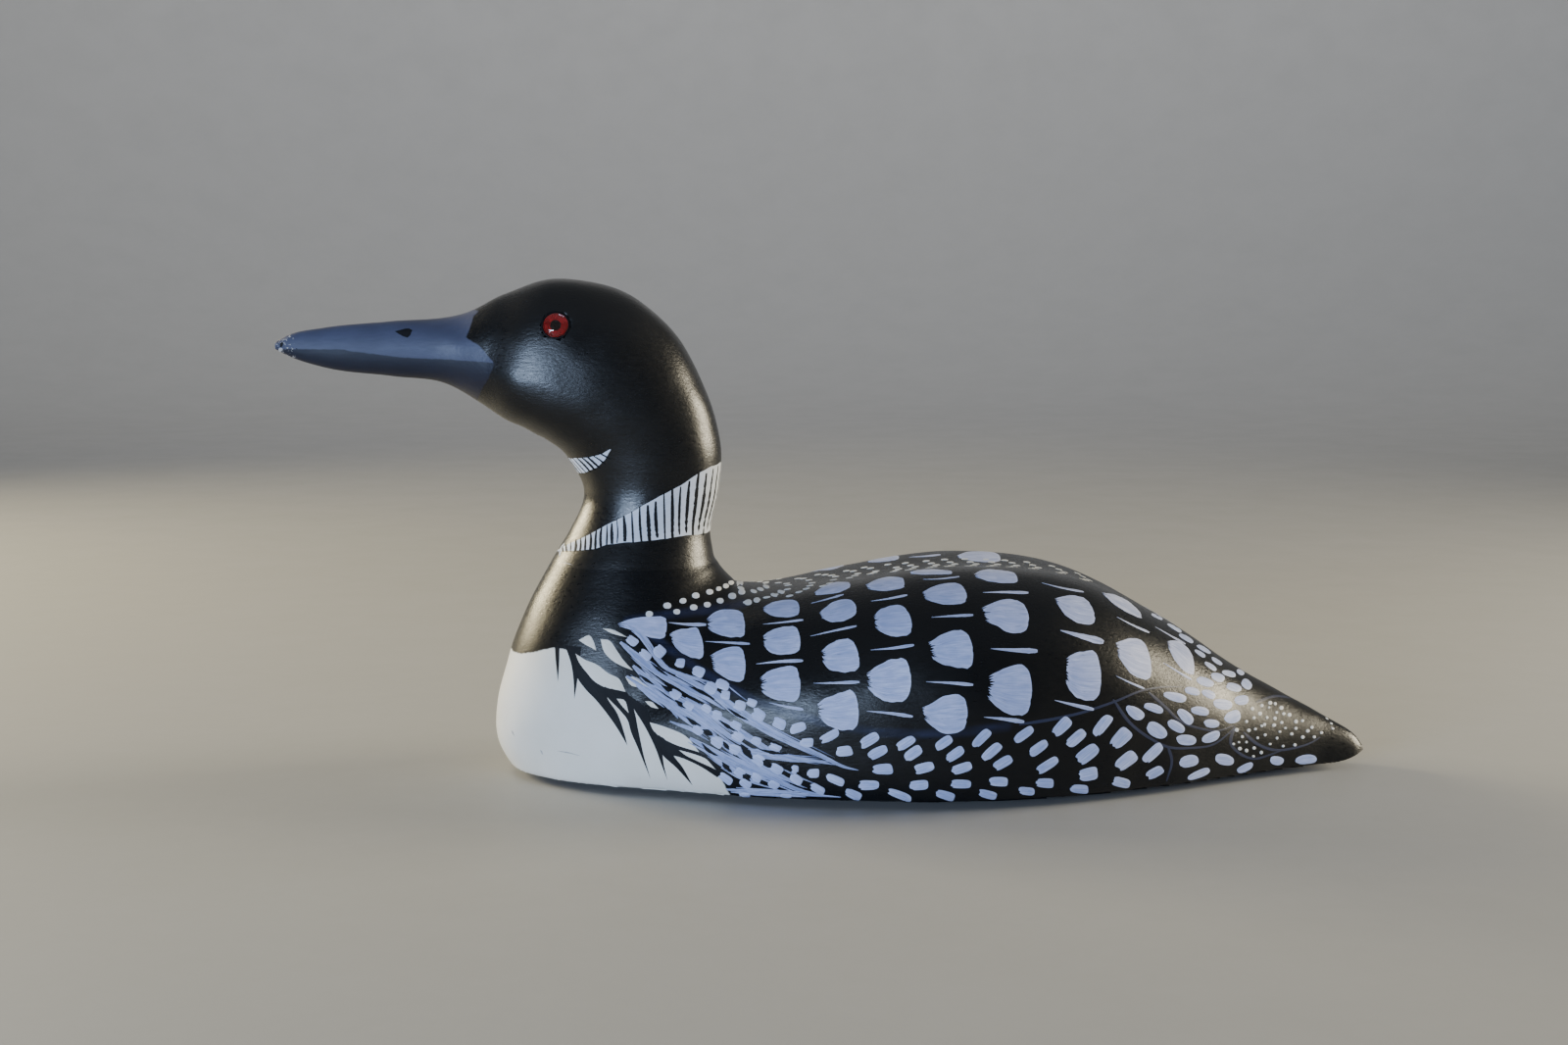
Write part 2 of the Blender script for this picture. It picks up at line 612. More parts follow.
SOCKET = mottled("socket_rim", (0.003, 0.003, 0.004), (0.007, 0.006, 0.006), 1.2, (0.5, 0.65),
                 Specular_IOR_Level=0.15)
EYE_GLASS = eye_glass_material()
FELT = mottled("felt", (0.035, 0.17, 0.085), (0.016, 0.085, 0.045), 1.1, (0.92, 1.0), (0.8, 0.35),
               (0.35, 0.65), Sheen_Weight=0.35, Sheen_Roughness=0.6)
FLOOR = mottled("floor", (0.38, 0.38, 0.375), (0.365, 0.365, 0.36), 0.02, (0.55, 0.65), (0.02, 0.05))


# Fine body and head

def build_body():
    bm = loft("tail tip", "lower neck", BODY_RINGS, BODY_AROUND)
    carve_ripple(bm, *BODY_RIPPLE, lambda co: clamped((SEAM_Z - 1 - co.z) / RIPPLE_FADE))
    cut_level(bm, SEAM_Z, clear_above=True)
    cut_level(bm, BASE_Z, clear_below=True)
    for height, _ in BASE_EDGE[1:]:
        cut_level(bm, BASE_Z + height)
    bm.normal_update()
    round_base_edge(bm)
    bm.normal_update()
    outline = divide_base(bm)
    lift_tail_end(bm)
    piece = add_piece("fine_body", bm, BODY_PAINT)
    points = piece_points(piece)
    flat = points[:, 2] < BASE_Z + 0.01
    from_edge = np.zeros(len(points))
    from_edge[flat] = np.linalg.norm(points[flat, None, :2] - outline[None], axis=2).min(axis=1)
    set_field(piece, "rim", from_edge)
    return piece


def build_head():
    """The head with a pocket for each eye, and where and how the eyes sit."""
    bm = loft("breast top", "bill tip", HEAD_RINGS, HEAD_AROUND)
    carve_ripple(bm, *HEAD_RIPPLE, lambda co: clamped((co.z - SEAM_Z - 1) / RIPPLE_FADE)
                 * clamped((co.x + 150) / 30))
    cut_level(bm, SEAM_Z, clear_below=True)
    bm.normal_update()
    skin = BVHTree.FromBMesh(bm)
    seats = {side: skin.ray_cast(Vector((EYE_X, side * 60, EYE_Z)), Vector((0, -side, 0)))[:2]
             for side in SIDES}
    for place, normal in seats.values():
        for vert in bm.verts:
            offset = vert.co - place
            if offset.length < SOCKET_REACH:
                radius = (offset - normal * offset.dot(normal)).length
                sink = clamped((EYE_RADIUS + SOCKET_EDGE - radius) / SOCKET_SLOPE)
                vert.co -= normal * (SOCKET_DEPTH * sink)
    return add_piece("fine_head", bm, HEAD_PAINT), seats


fine_body = build_body()
fine_head, eye_seats = build_head()
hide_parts("body")
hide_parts("head")

# Colour borders on the carved surfaces, as outlines in the photograph
BREAST_OUTLINE = [
    (480, 640), (521, 660), (524, 665), (532, 667), (544.6, 665.3), (566, 660.5), (590, 665), (600, 692),
    (619.3, 706), (633, 716), (647, 721), (660, 742), (672, 760), (690, 768), (712, 778), (733, 789),
    (739, 800), (745, 812), (750, 840), (480, 840),
]
BILL_OUTLINE = [
    (240, 280), (488.6, 317), (483, 323), (479.4, 335), (475.6, 344.4), (489.4, 353), (497, 362),
    (503, 369), (504.7, 372), (497.8, 387), (491, 398), (486, 412), (240, 440),
]
LOWER_BILL_OUTLINE = [
    (270, 355.5), (287, 356), (350, 356.6), (356, 358), (385, 361.5), (413, 365), (456, 366.6),
    (503, 370), (520, 372), (520, 440), (270, 440),
]
# The edges of the wing that the haze follows
WING_HAZE = [
    [(640, 634), (665, 648), (689, 667), (715, 684), (747, 703), (773, 716), (811, 729), (850, 740),
     (898, 747), (936.5, 749), (990, 746), (1028, 741)],
    [(640, 633), (676.6, 627.5), (727, 622), (758, 616)],
]

seen_at = in_photo(piece_points(fine_body))
set_field(fine_body, "breast", outline_distance(seen_at, BREAST_OUTLINE) * PIXEL_MM)
set_field(fine_body, "haze", np.min([line_distance(seen_at, line) for line in WING_HAZE], axis=0) * PIXEL_MM)
head_points = piece_points(fine_head)
seen_at = in_photo(head_points)
set_field(fine_head, "bill", outline_distance(seen_at, BILL_OUTLINE) * PIXEL_MM)
set_field(fine_head, "lower_bill", outline_distance(seen_at, LOWER_BILL_OUTLINE) * PIXEL_MM)
set_field(fine_head, "tip", head_points[:, 0] + TIP_X)


def skin_tree(pieces):
    verts, faces = [], []
    for piece in pieces:
        start = len(verts)
        verts += [tuple(point) for point in piece_points(piece)]
        faces += [[start + i for i in polygon.vertices] for polygon in piece.data.polygons]
    return BVHTree.FromPolygons(verts, faces)


SKIN = skin_tree([fine_body, fine_head])


# Paint marks: the functions below that find a place on the skin return it with its direction

def seen(x, y):
    """The point of the surface that the camera sees at a pixel, or the nearest one beyond the edge."""
    place, normal, _, _ = SKIN.ray_cast(EYE_POINT, sight(x, y))
    if place is None:
        return dropped(EYE_POINT + sight(x, y) * BIRD_AWAY)
    return place, normal


def dropped(point):
    """The nearest point of the surface."""
    return SKIN.find_nearest(point)[:2]


def from_above(x, y):
    """The top of the bird at millimetres of length and width."""
    return SKIN.ray_cast(Vector((x, y, 120.0)), -UP)[:2]


def brush_shift():
    """Where a mark's streaks begin in the noise, so that no two marks look the same."""
    return draw.uniform(0, 50)


class Coat:
    """Marks of one kind of paint, gathered into one mesh."""

    def __init__(self, name, material, slot="body_paint"):
        self.name, self.material, self.slot = name, material, slot
        self.verts, self.brush, self.inner, self.tone, self.faces = [], [], [], [], []
        self.mark_tone = 0.5

    def point(self, place, side, u, v, inner=1.0):
        self.verts.append((place.x * MM, place.y * -side * MM, place.z * MM))
        self.brush.append((u, v))
        self.inner.append(inner)
        self.tone.append(self.mark_tone)
        return len(self.verts) - 1

    def band(self, one, two):
        """Faces between two closed loops of points."""
        self.faces += [(one[k - 1], one[k], two[k], two[k - 1]) for k in range(len(one))]

    def sheet(self, rows, lift, side, crown=0.5, length=1.0, width=1.0):
        """A thin closed slab over a grid of (place, normal), thicker along its middle."""
        shift = brush_shift()
        self.mark_tone = draw.random()
        last_row, last = len(rows) - 1, len(rows[0]) - 1
        grids = [], []
        for i, row in enumerate(rows):
            end = min(i, last_row - i) / last_row * length
            for grid in grids:
                grid.append([])
            for j, (place, normal) in enumerate(row):
                across = 2 * j / last - 1
                inner = min(1.0, min(end, (1 - abs(across)) * width / 2) / RIM_WIDTH)
                for grid, height in zip(grids, (lift * (1 - crown * across**4), -SUNK)):
                    grid[-1].append(self.point(place + normal * height, side, length * i / last_row,
                                               width * j / last + shift, inner))
        rims = []
        for grid in grids:
            for one, two in zip(grid, grid[1:]):
                self.faces += zip(one, one[1:], two[1:], two)
            rims.append(grid[0] + [row[-1] for row in grid[1:]] + grid[-1][-2::-1]
                        + [row[0] for row in grid[-2:0:-1]])
        self.band(*rims)

    def blob(self, laid, outline, lift, side, size=1.0):
        """A thin domed dab: laid(a, b) gives the surface under a point of its outline."""
        self.mark_tone = draw.random()
        shift = brush_shift()
        loops = []
        for scale, height, inner in ((1.0, -SUNK, 0.0), (1.0, lift * 0.45, 0.0), (0.84, lift * 0.9, 0.5),
                                     (0.45, lift, 1.0)):
            loops.append([])
            for a, b in outline:
                place, normal = laid(a * scale, b * scale)
                loops[-1].append(self.point(place + normal * height, side, a * scale * size,
                                            b * scale * size + shift, inner))
        for one, two in zip(loops, loops[1:]):
            self.band(one, two)
        place, normal = laid(0.0, 0.0)
        for loop, height in ((loops[-1], lift), (loops[0], -SUNK)):
            tip = self.point(place + normal * height, side, 0.0, shift)
            self.faces += [(loop[k - 1], loop[k], tip) for k in range(len(loop))]

    def build(self):
        mesh = bpy.data.meshes.new(self.name)
        mesh.from_pydata(self.verts, [], self.faces)
        layer = mesh.uv_layers.new(name="brush")
        corners = np.zeros(len(mesh.loops), np.int32)
        mesh.loops.foreach_get("vertex_index", corners)
        layer.data.foreach_set("uv", np.array(self.brush, np.float32)[corners].ravel())
        mesh.materials.append(self.material)
        bm = bmesh.new()
        bm.from_mesh(mesh)
        bmesh.ops.recalc_face_normals(bm, faces=bm.faces)
        bm.to_mesh(mesh)
        bm.free()
        mesh.shade_smooth()
        mesh.set_sharp_from_angle(angle=math.radians(50))
        piece = ride_piece(self.name, mesh)
        set_field(piece, "inner", self.inner)
        set_field(piece, "tone", self.tone)


def resampled(path, count):
    """The same number of even steps along any path."""
    knots = np.concatenate([[0.0], np.cumsum(steps_of(path))])
    return smooth_through(knots, np.array(path, float), np.linspace(0, knots[-1], count))


def square_to(line):
    """The direction square to a line of pixels at each of its points."""
    heading = np.gradient(line, axis=0)
    heading /= np.linalg.norm(heading, axis=1)[:, None]
    return np.stack([-heading[:, 1], heading[:, 0]], axis=1)


def ribbon(coat, upper, lower, lift, across=4, step=3.0, sides=SIDES):
    """A mark between two edges given as pixels of the photograph, on both sides of the bird."""
    length = max(steps_of(upper).sum(), 4)
    count = max(4, int(length / step))
    one, two = resampled(upper, count), resampled(lower, count)
    width = np.linalg.norm(one - two, axis=1).max() * PIXEL_MM
    rows = [[seen(*(a + (b - a) * j / across)) for j in range(across + 1)] for a, b in zip(one, two)]
    for side in sides:
        coat.sheet(rows, lift, side, length=length * PIXEL_MM, width=width)


def stroke(coat, spine, width, lift, ends=(0.15, 0.05), blunt=0.35, across=3, step=3.0, sides=SIDES):
    """A brush stroke along a spine of pixels: it swells from a narrow start and ends in a point."""
    count = max(6, int(steps_of(spine).sum() / step))
    middle = resampled(spine, count)
    t = np.linspace(0, 1, count)
    swell = np.minimum(ends[0] + (1 - ends[0]) * np.clip(t / blunt, 0, 1) ** 0.8,
                       ends[1] + (1 - ends[1]) * np.clip((1 - t) / (1 - blunt), 0, 1) ** 0.6)
    wobble = np.array([1 + 0.14 * noise.noise(Vector((spine[0][0], i * 0.7, 3.0))) for i in range(count)])
    half = (width / 2 * swell * wobble)[:, None] * square_to(middle)
    ribbon(coat, middle - half, middle + half, lift, across, step, sides)


def hairs(coat, spine, width, lift, count):
    """Thin side strokes that the brush's outer hairs leave along a broad one."""
    fine = resampled(spine, 24)
    square = square_to(fine)
    for _ in range(count):
        start = draw.randint(0, 10)
        end = draw.randint(start + 9, 23)
        off = draw.choice((-1, 1)) * draw.uniform(0.36, 0.62) * width
        drift = draw.uniform(-0.12, 0.12) * width
        steps = np.linspace(0, 1, end - start + 1)[:, None]
        path = fine[start:end + 1] + square[start:end + 1] * (off + drift * steps)
        stroke(coat, path[::3], draw.uniform(1.3, 2.6), lift, ends=(0.2, 0.05), across=2)


def dab_outline(length, width, power=2.1, count=14, tip=0.0, uneven=0.04):
    """A rounded dab's outline, a little uneven, with teeth where the brush came down."""
    phases = [draw.uniform(0, 2 * math.pi) for _ in range(3)]
    teeth = [draw.uniform(-0.9, 0.9) for _ in range(2)]
    taper = draw.uniform(0.0, 0.16) if tip else 0.0
    outline = []
    for k in range(count):
        angle = 2 * math.pi * k / count
        c, s = math.cos(angle), math.sin(angle)
        a = math.copysign(abs(c) ** (2 / power), c) * length / 2
        b = math.copysign(abs(s) ** (2 / power), s) * width / 2 * (1 + taper * c)
        size = 1 + uneven * sum(math.cos((n + 1) * angle + phase) / (n + 1) for n, phase in enumerate(phases))
        if tip and c < -0.45:
            a *= 1 - tip * 0.5 * max(0.0, 1 - min(abs(s - tooth) for tooth in teeth) / 0.25)
        outline.append((a * size, b * size))
    return outline


def dabs(coat, places, lift, power=2.6, tip=0.0, count=24, uneven=0.05, size=1.0):
    """Dabs at pixels: (x, y, tilt, length, width), all as they look in the photograph."""
    for x, y, tilt, length, width in places:
        c, s = math.cos(math.radians(tilt)), math.sin(math.radians(tilt))
        centre, _ = seen(x, y)

        def laid(a, b):
            for _ in range(8):
                place, normal = seen(x + a * c + b * s, y - a * s + b * c)
                if (place - centre).length < 1.0 + math.hypot(a, b) * PIXEL_MM * STEEPEST:
                    break
                a, b = a * 0.85, b * 0.85
            return place, normal
        for side in SIDES:
            outline = dab_outline(length * size, width * size, power, count, tip, uneven)
            coat.blob(laid, outline, lift, side, PIXEL_MM)


def fan(coat, upper, lower, bulge, sides=SIDES, lay=seen, unit=PIXEL_MM):
    """A feather patch between an upper and a lower edge: a toothed front end and a bowed rear."""
    one, two = resampled(upper, EDGE_POINTS), resampled(lower, EDGE_POINTS)
    ahead = one[-1] + two[-1] - one[0] - two[0]
    length = np.linalg.norm(ahead) / 2
    ahead /= 2 * length
    width = np.linalg.norm(one - two, axis=1).max()
    for side in sides:
        depths = [draw.uniform(0.04, 0.27) for _ in range(FAN_COLUMNS)]
        wave = draw.uniform(0, 50)
        grid = []
        for i in range(FAN_ROWS):
            t = i / (FAN_ROWS - 1)
            grid.append([])
            for j in range(FAN_COLUMNS):
                s = 2 * j / (FAN_COLUMNS - 1) - 1
                start = depths[int(j * TEETH_A_COLUMN)] * (j * TEETH_A_COLUMN % 1.0)
                corner = max(0.0, abs(s) - CORNER_FROM) / (1 - CORNER_FROM)
                stop = 1 - CORNER_CUT * corner**2 + 0.03 * noise.noise(Vector((s * 4, wave, 0)))
                at = clamped(start + (stop - start) * t) * (EDGE_POINTS - 1)
                k = min(int(at), EDGE_POINTS - 2)
                a = one[k] + (one[k + 1] - one[k]) * (at - k)
                b = two[k] + (two[k + 1] - two[k]) * (at - k)
                reach = s * (1 + 0.06 * noise.noise(Vector((t * 5, wave, s))))
                spot = a + (b - a) * (reach + 1) / 2 + ahead * (bulge * (1 - s * s) * t * t)
                grid[-1].append(lay(*spot))
        coat.sheet(grid, LIFT_PATCH, side, crown=0.3, length=length * unit, width=width * unit)


# Feather patches on the back, as pixels: the upper edge from the toothed front to the rear, the
# lower edge the same way, and how far the rear edge bows out
PATCHES = [
    ([(629, 637), (640, 632.5), (655, 629.5), (679, 628.5)],
     [(631, 638.5), (645, 643), (660, 649.5), (677.5, 652.5)], 2),
    ([(683, 647), (690, 643.5), (703.6, 641), (712, 640.2)],
     [(686, 655), (691, 662), (702, 669), (717, 673.5)], 3),
    ([(721, 632), (728.6, 625), (740, 621.8), (757, 623.5)],
     [(722.5, 641), (728, 645), (740, 649), (759, 650.3)], 2),
    ([(724.6, 669), (734, 663.5), (747, 659.8), (757.5, 660.5)],
     [(727, 682), (736, 689), (747, 694.8), (758, 696)], 3),
    ([(778.5, 620), (785.7, 615.7), (797, 612.5), (812, 611.8)],
     [(779, 623), (786, 627.3), (799, 629.5), (813.5, 628.4)], 3),
    ([(778.5, 649), (785.7, 643.5), (799, 639.8), (812, 638.4)],
     [(779.5, 659), (785, 664.8), (798, 667.8), (815, 665.8)], 3),
    ([(775.2, 692), (782, 686), (795, 681), (812, 679.3)],
     [(777, 706), (785, 711), (798, 715), (813.5, 716)], 4),
    ([(831, 604.5), (840, 598.5), (852, 594), (866, 594)],
     [(832, 607), (845, 606), (857, 604), (867, 599.5)], 1),
    ([(836, 625.5), (843, 619), (854, 612.8), (867, 611)],
     [(838.5, 630.5), (846, 633.8), (858, 634), (872.3, 628.5)], 4),
    ([(838, 664.5), (844, 659), (853, 653.8), (868, 651)],
     [(839.5, 675), (845, 682), (858, 685.4), (876, 684.3)], 4),
    ([(833.5, 719), (840, 713.5), (853, 708.2), (870.5, 703)],
     [(835.5, 732), (843, 738.5), (856, 744), (873.5, 744.8)], 4),
    ([(883, 597), (892, 592.5), (903, 589), (921, 589)],
     [(886, 601), (898, 602.6), (910, 602), (922.5, 599.8)], 1, AS_SEEN),
    ([(891.5, 629), (898, 622), (908, 618.3), (921, 617)],
     [(893, 640), (899, 644.5), (911, 649), (928.5, 648)], 5),
    ([(884, 687.5), (893, 681), (906, 673.9), (923, 670.4)],
     [(885.5, 702), (893, 709.5), (906, 715.8), (924.5, 716)], 6),
    ([(941, 604.5), (950, 599.5), (963, 595.5), (978, 594.5)],
     [(944, 611), (953, 614.3), (965, 616.6), (984, 615.8)], 5),
    ([(947, 656), (954, 651.5), (966, 645.5), (984.5, 641.5)],
     [(951, 671), (958, 676), (972, 679.8), (990.5, 682)], 5),
    ([(940.5, 722), (950, 718), (962, 710.5), (982, 708)],
     [(943, 733.5), (952, 741.5), (964, 748.3), (982.5, 746)], 5),
    ([(993.6, 586), (1001, 582), (1016, 581.3), (1034, 583.6)],
     [(996, 588.8), (1010, 593), (1023, 594.6), (1038, 594.7)], 2, AS_SEEN),
    ([(1002, 620.5), (1013, 615), (1027, 611.6), (1042, 613.2)],
     [(1006, 633.6), (1017, 638.5), (1029, 645), (1045.5, 645.5)], 6),
    ([(1008.5, 690), (1020, 684), (1033, 679), (1047, 678)],
     [(1007.5, 712), (1016, 720), (1029, 728), (1047, 730.6)], 6),
    ([(1076, 611), (1085, 608.3), (1098, 607.8), (1108, 610)],
     [(1079, 616), (1088, 628), (1100, 635.5), (1116.5, 637)], 4),
    ([(1088, 672), (1094, 667.5), (1105, 664.5), (1117.5, 663)],
     [(1087.5, 696), (1093, 706), (1105, 714), (1119.5, 714.5)], 5),
    ([(1138.5, 656), (1148, 652.3), (1157, 651.2), (1167, 654)],
     [(1141, 669.5), (1149, 681), (1159, 690.5), (1172.5, 694.5)], 5),
    ([(1190.5, 654.5), (1198, 653.4), (1208, 657.5), (1216, 666.5)],
     [(1192.5, 661), (1199.5, 674.5), (1208, 684), (1217.8, 689.5)], 2),
    ([(1124.5, 604.5), (1138, 607), (1152, 614), (1163, 624)],
     [(1126, 606.5), (1139, 618), (1152, 625.6), (1165, 631.6)], 0.5),
    ([(928.5, 583.6), (938, 581.4), (953, 580.8), (971, 582.4)],
     [(929.5, 585.2), (942, 586), (956, 586), (970.8, 585.6)], 0.5, AS_SEEN),
]
# Their partners on the far side, as millimetres of length and width
FAR_PATCHES = [
    ([(15.5, 20), (18, 23.5), (21.5, 25.5), (25.5, 25.5)],
     [(15.8, 18.5), (18.5, 16), (22, 14.6), (26.5, 14.5)], 1.2),
    ([(48.5, 13), (52, 18), (57, 22), (62.5, 22.5)], [(49, 10.5), (53, 7), (58, 5), (63.5, 5.5)], 1.5),
]
# Thin shaft streaks between the patches: the fine front end, the blunt rear end and its width
SHAFTS = [
    (682, 635, 720.5, 637.2, 3.6), (719.6, 654.3, 765, 656.8, 2.8), (778.6, 636.8, 819.6, 632.3, 2.2),
    (771.4, 677.3, 819.3, 673.9, 3.6), (784.8, 716.8, 819.6, 723.9, 3.2),
    (827.7, 615.4, 860.7, 606.4, 1.8), (826.8, 648.9, 874, 638.6, 2.3), (830.4, 697, 877, 695.7, 3.3),
    (888.9, 613.2, 925.7, 607, 2.3), (888.2, 663, 932.6, 658, 3.3), (884, 725.3, 931.3, 731, 3.5),
    (950.7, 629.7, 993, 627.4, 2.9), (945, 695.4, 993, 698.6, 3.5), (1002.8, 604.4, 1049.3, 604.7, 3.0),
    (1011, 661.7, 1058.6, 664.2, 5.2), (1004, 731.5, 1045, 736.4, 4.4), (941.7, 591.0, 979, 588.2, 1.5),
    (1063, 594.6, 1105.7, 603.8, 2.0), (1082, 643, 1126, 655, 7.0), (1076, 714.3, 1116, 723.8, 4.2),
    (1140, 629.5, 1172.8, 645.3, 2.2), (1138.5, 689.3, 1167.5, 702.5, 2.3),
    (1178.7, 639.3, 1209.6, 657, 2.0), (1187, 676, 1215.8, 693.3, 2.4),
]
# One more, edge-on at the top of the back
TOP_SHAFT = [(927.8, 568.3), (944, 567.4), (959.7, 565.8)]
SHAFT_FORM = {"ends": (0.06, 0.5), "blunt": 0.82}

patches = Coat("feather_patches", PATCH_PAINT)
for upper, lower, bulge, *seen_side in PATCHES:
    fan(patches, upper, lower, bulge, *seen_side)
for upper, lower, bulge in FAR_PATCHES:
    fan(patches, upper, lower, bulge, AS_SEEN, from_above, 1.0)
patches.build()

shafts = Coat("shaft_streaks", STREAK_PAINT)
for x, y, end_x, end_y, width in SHAFTS:
    bow = draw.uniform(-0.8, 0.8)
    stroke(shafts, [(x, y), ((x + end_x) / 2, (y + end_y) / 2 + bow), (end_x, end_y)], width, LIFT_PATCH,
           across=4, step=2.0, **SHAFT_FORM)
stroke(shafts, TOP_SHAFT, 1.8, LIFT_PATCH, across=2, sides=AS_SEEN, **SHAFT_FORM)
shafts.build()

# Flank dashes in columns, top to bottom: pixel, tilt, length and width
FLANK = [
    (886.4, 755, 30, 21.5, 10.4), (896, 767.7, 25, 20, 10.5), (900, 784.3, 3, 21, 10.5),
    (887, 800.9, 0, 20.5, 10), (870, 810, -25, 18, 8.5), (924, 757.7, 33, 21, 9.5),
    (931.8, 769, 33, 20, 10.5), (942, 783.2, 15, 20, 10.5), (937.5, 801.3, 5, 20, 9.5),
    (917, 810.5, -20, 26, 7.5), (962.5, 758.4, 33, 19.5, 9.5), (973.8, 769.3, 33, 21, 9.5),
    (981.6, 783.2, 18, 21, 10), (980.7, 800, -2, 20.5, 9), (965, 811.2, -18, 20.5, 8.5),
    (1001, 754, 47, 23, 9.5), (1012.5, 766, 42, 23, 10), (1022.5, 778.8, 30, 21.5, 9.5),
    (1019, 797.7, -2, 20, 9), (1007.5, 810.6, -13, 19.5, 8), (1044.8, 748.8, 35, 22, 9.5),
    (1059.6, 763.6, 35, 22.5, 9.5), (1068.4, 780.4, 32, 24, 9.5), (1065.5, 799, -2, 19, 9),
    (1047.3, 806.6, -5, 16, 8), (1082.8, 742, 45, 24, 11), (1097.3, 753.4, 42, 23, 10.5),
    (1108.6, 769.8, 38, 26, 13), (1111, 790, 12, 20.5, 12.5), (1102, 805, -3, 19, 8.5),
    (1124.7, 739.6, 52, 26, 10.5), (1142.7, 753.7, 47, 24, 14), (1148.5, 777, 38, 23.5, 13.5),
    (1143.5, 797.8, -15, 18, 10), (1176, 769, 42, 24.5, 10.5), (1178.8, 788.3, 30, 18.5, 9.5),
]
# Ovals on the rump, and the last few along the tail's edge
RUMP = [
    (1157, 726.5, -38, 22, 11.5), (1176.3, 722.3, -20, 21, 9), (1197.7, 710.8, -12, 25, 9.5),
    (1208.8, 730.8, -40, 21, 11), (1225.2, 725.2, -12, 20.5, 9), (1180.8, 745.8, -35, 25, 14),
    (1199.4, 740, -28, 20, 10.5), (1236.5, 738.5, 0, 16.5, 9), (1209.4, 755.2, 0, 21, 11.5),
    (1235.4, 752.5, 20, 21.5, 10), (1230.2, 695.4, -22, 19.5, 9), (1242.3, 690.4, -25, 15.5, 8.5),
    (1254.6, 687, -18, 14.5, 6.5), (1258.7, 701.5, -20, 17, 8.5), (1271.7, 697.3, -38, 13, 9),
    (1266, 685.8, -35, 9, 5), (1216.5, 705.4, -15, 16, 8.5), (1233, 708.3, -22, 15, 8.5),
    (1248.7, 718.3, -5, 20, 11.5), (1267.3, 714.6, 10, 15.5, 10.5), (1257.3, 732, 22, 19, 12.5),
    (1224, 666.3, -33, 13, 4.5), (1235.2, 679.3, -33, 15, 5), (1241.8, 674.4, -33, 13, 4.6),
    (1210, 650.7, -31, 17, 5), (1227.4, 661.6, -32, 17, 4.5), (1199, 641, -31, 17, 4),
    (1180, 629, -27, 13, 3.5), (1212.7, 777.3, 15, 20, 13.5), (1224.4, 789.2, 23, 25, 8.5),
    (1248.3, 774.8, -8, 20, 12), (1270.8, 783.5, 25, 20, 7.5), (1302.3, 776.2, -8, 15.5, 9),
    (1333.5, 775, 5, 22, 10.5),
]
# Squarish dabs over and along the shoulder bundle
SHOULDER_DABS = [
    (644.3, 653.2, -40, 13, 9.5), (658.6, 668.4, -40, 14, 9), (673.6, 664.5, -40, 14, 12),
    (694.3, 676, -10, 10.5, 10), (712, 685.4, -25, 14, 11), (725, 701, -30, 14, 12),
    (736.6, 697.9, -20, 15, 10.5), (740.7, 709, -5, 11, 9.5), (688.4, 708.2, -35, 14, 9),
    (755.4, 719.3, -20, 12.5, 11), (766.6, 716.3, -25, 12, 8), (774.6, 729, -28, 15.5, 12),
    (794.3, 737.5, -22, 15, 11.5), (814.8, 742, 15, 18, 10.5), (847.3, 750.5, 28, 22, 10),
    (861.3, 765.7, 8, 18.5, 11), (823.2, 757.9, 0, 14, 10), (701.8, 720.2, -30, 12, 9),
    (720.5, 722, -30, 11, 9), (732, 729.6, -20, 12, 10), (751, 740.7, -25, 13, 9.5),
    (753.2, 751.4, -35, 14, 11), (771.4, 756.3, -20, 11, 9.5), (791.6, 762, -25, 14, 9),
    (731.6, 755.9, -30, 15, 11), (712.5, 744.6, -40, 12, 10), (749.5, 764.8, -25, 14, 10),
    (774, 775.5, -30, 15, 12), (811.6, 784.8, 0, 8.5, 8.5), (830.4, 788.4, 0, 13, 10),
    (853.2, 796, -22, 20, 9.5), (812.9, 794.8, -35, 15, 10), (834.8, 804.5, -28, 17, 9),
    (792, 784.8, -30, 15, 10), (755, 787.5, -35, 13, 10), (772.3, 793.4, -30, 12, 9),
    (760.2, 799.3, -40, 14, 9), (789.3, 800.5, -35, 12, 9), (739.8, 793.4, -35, 16, 8.5),
    (760.2, 811, -5, 13, 5), (802, 811.5, -5, 13, 5),
]

dashes = Coat("flank_dabs", DAB_PAINT)
dabs(dashes, FLANK, LIFT_OVAL, power=3.3, tip=0.5, uneven=0.08)
dabs(dashes, RUMP, LIFT_OVAL, power=2.3, tip=0.2, uneven=0.11, size=0.94)
dashes.build()

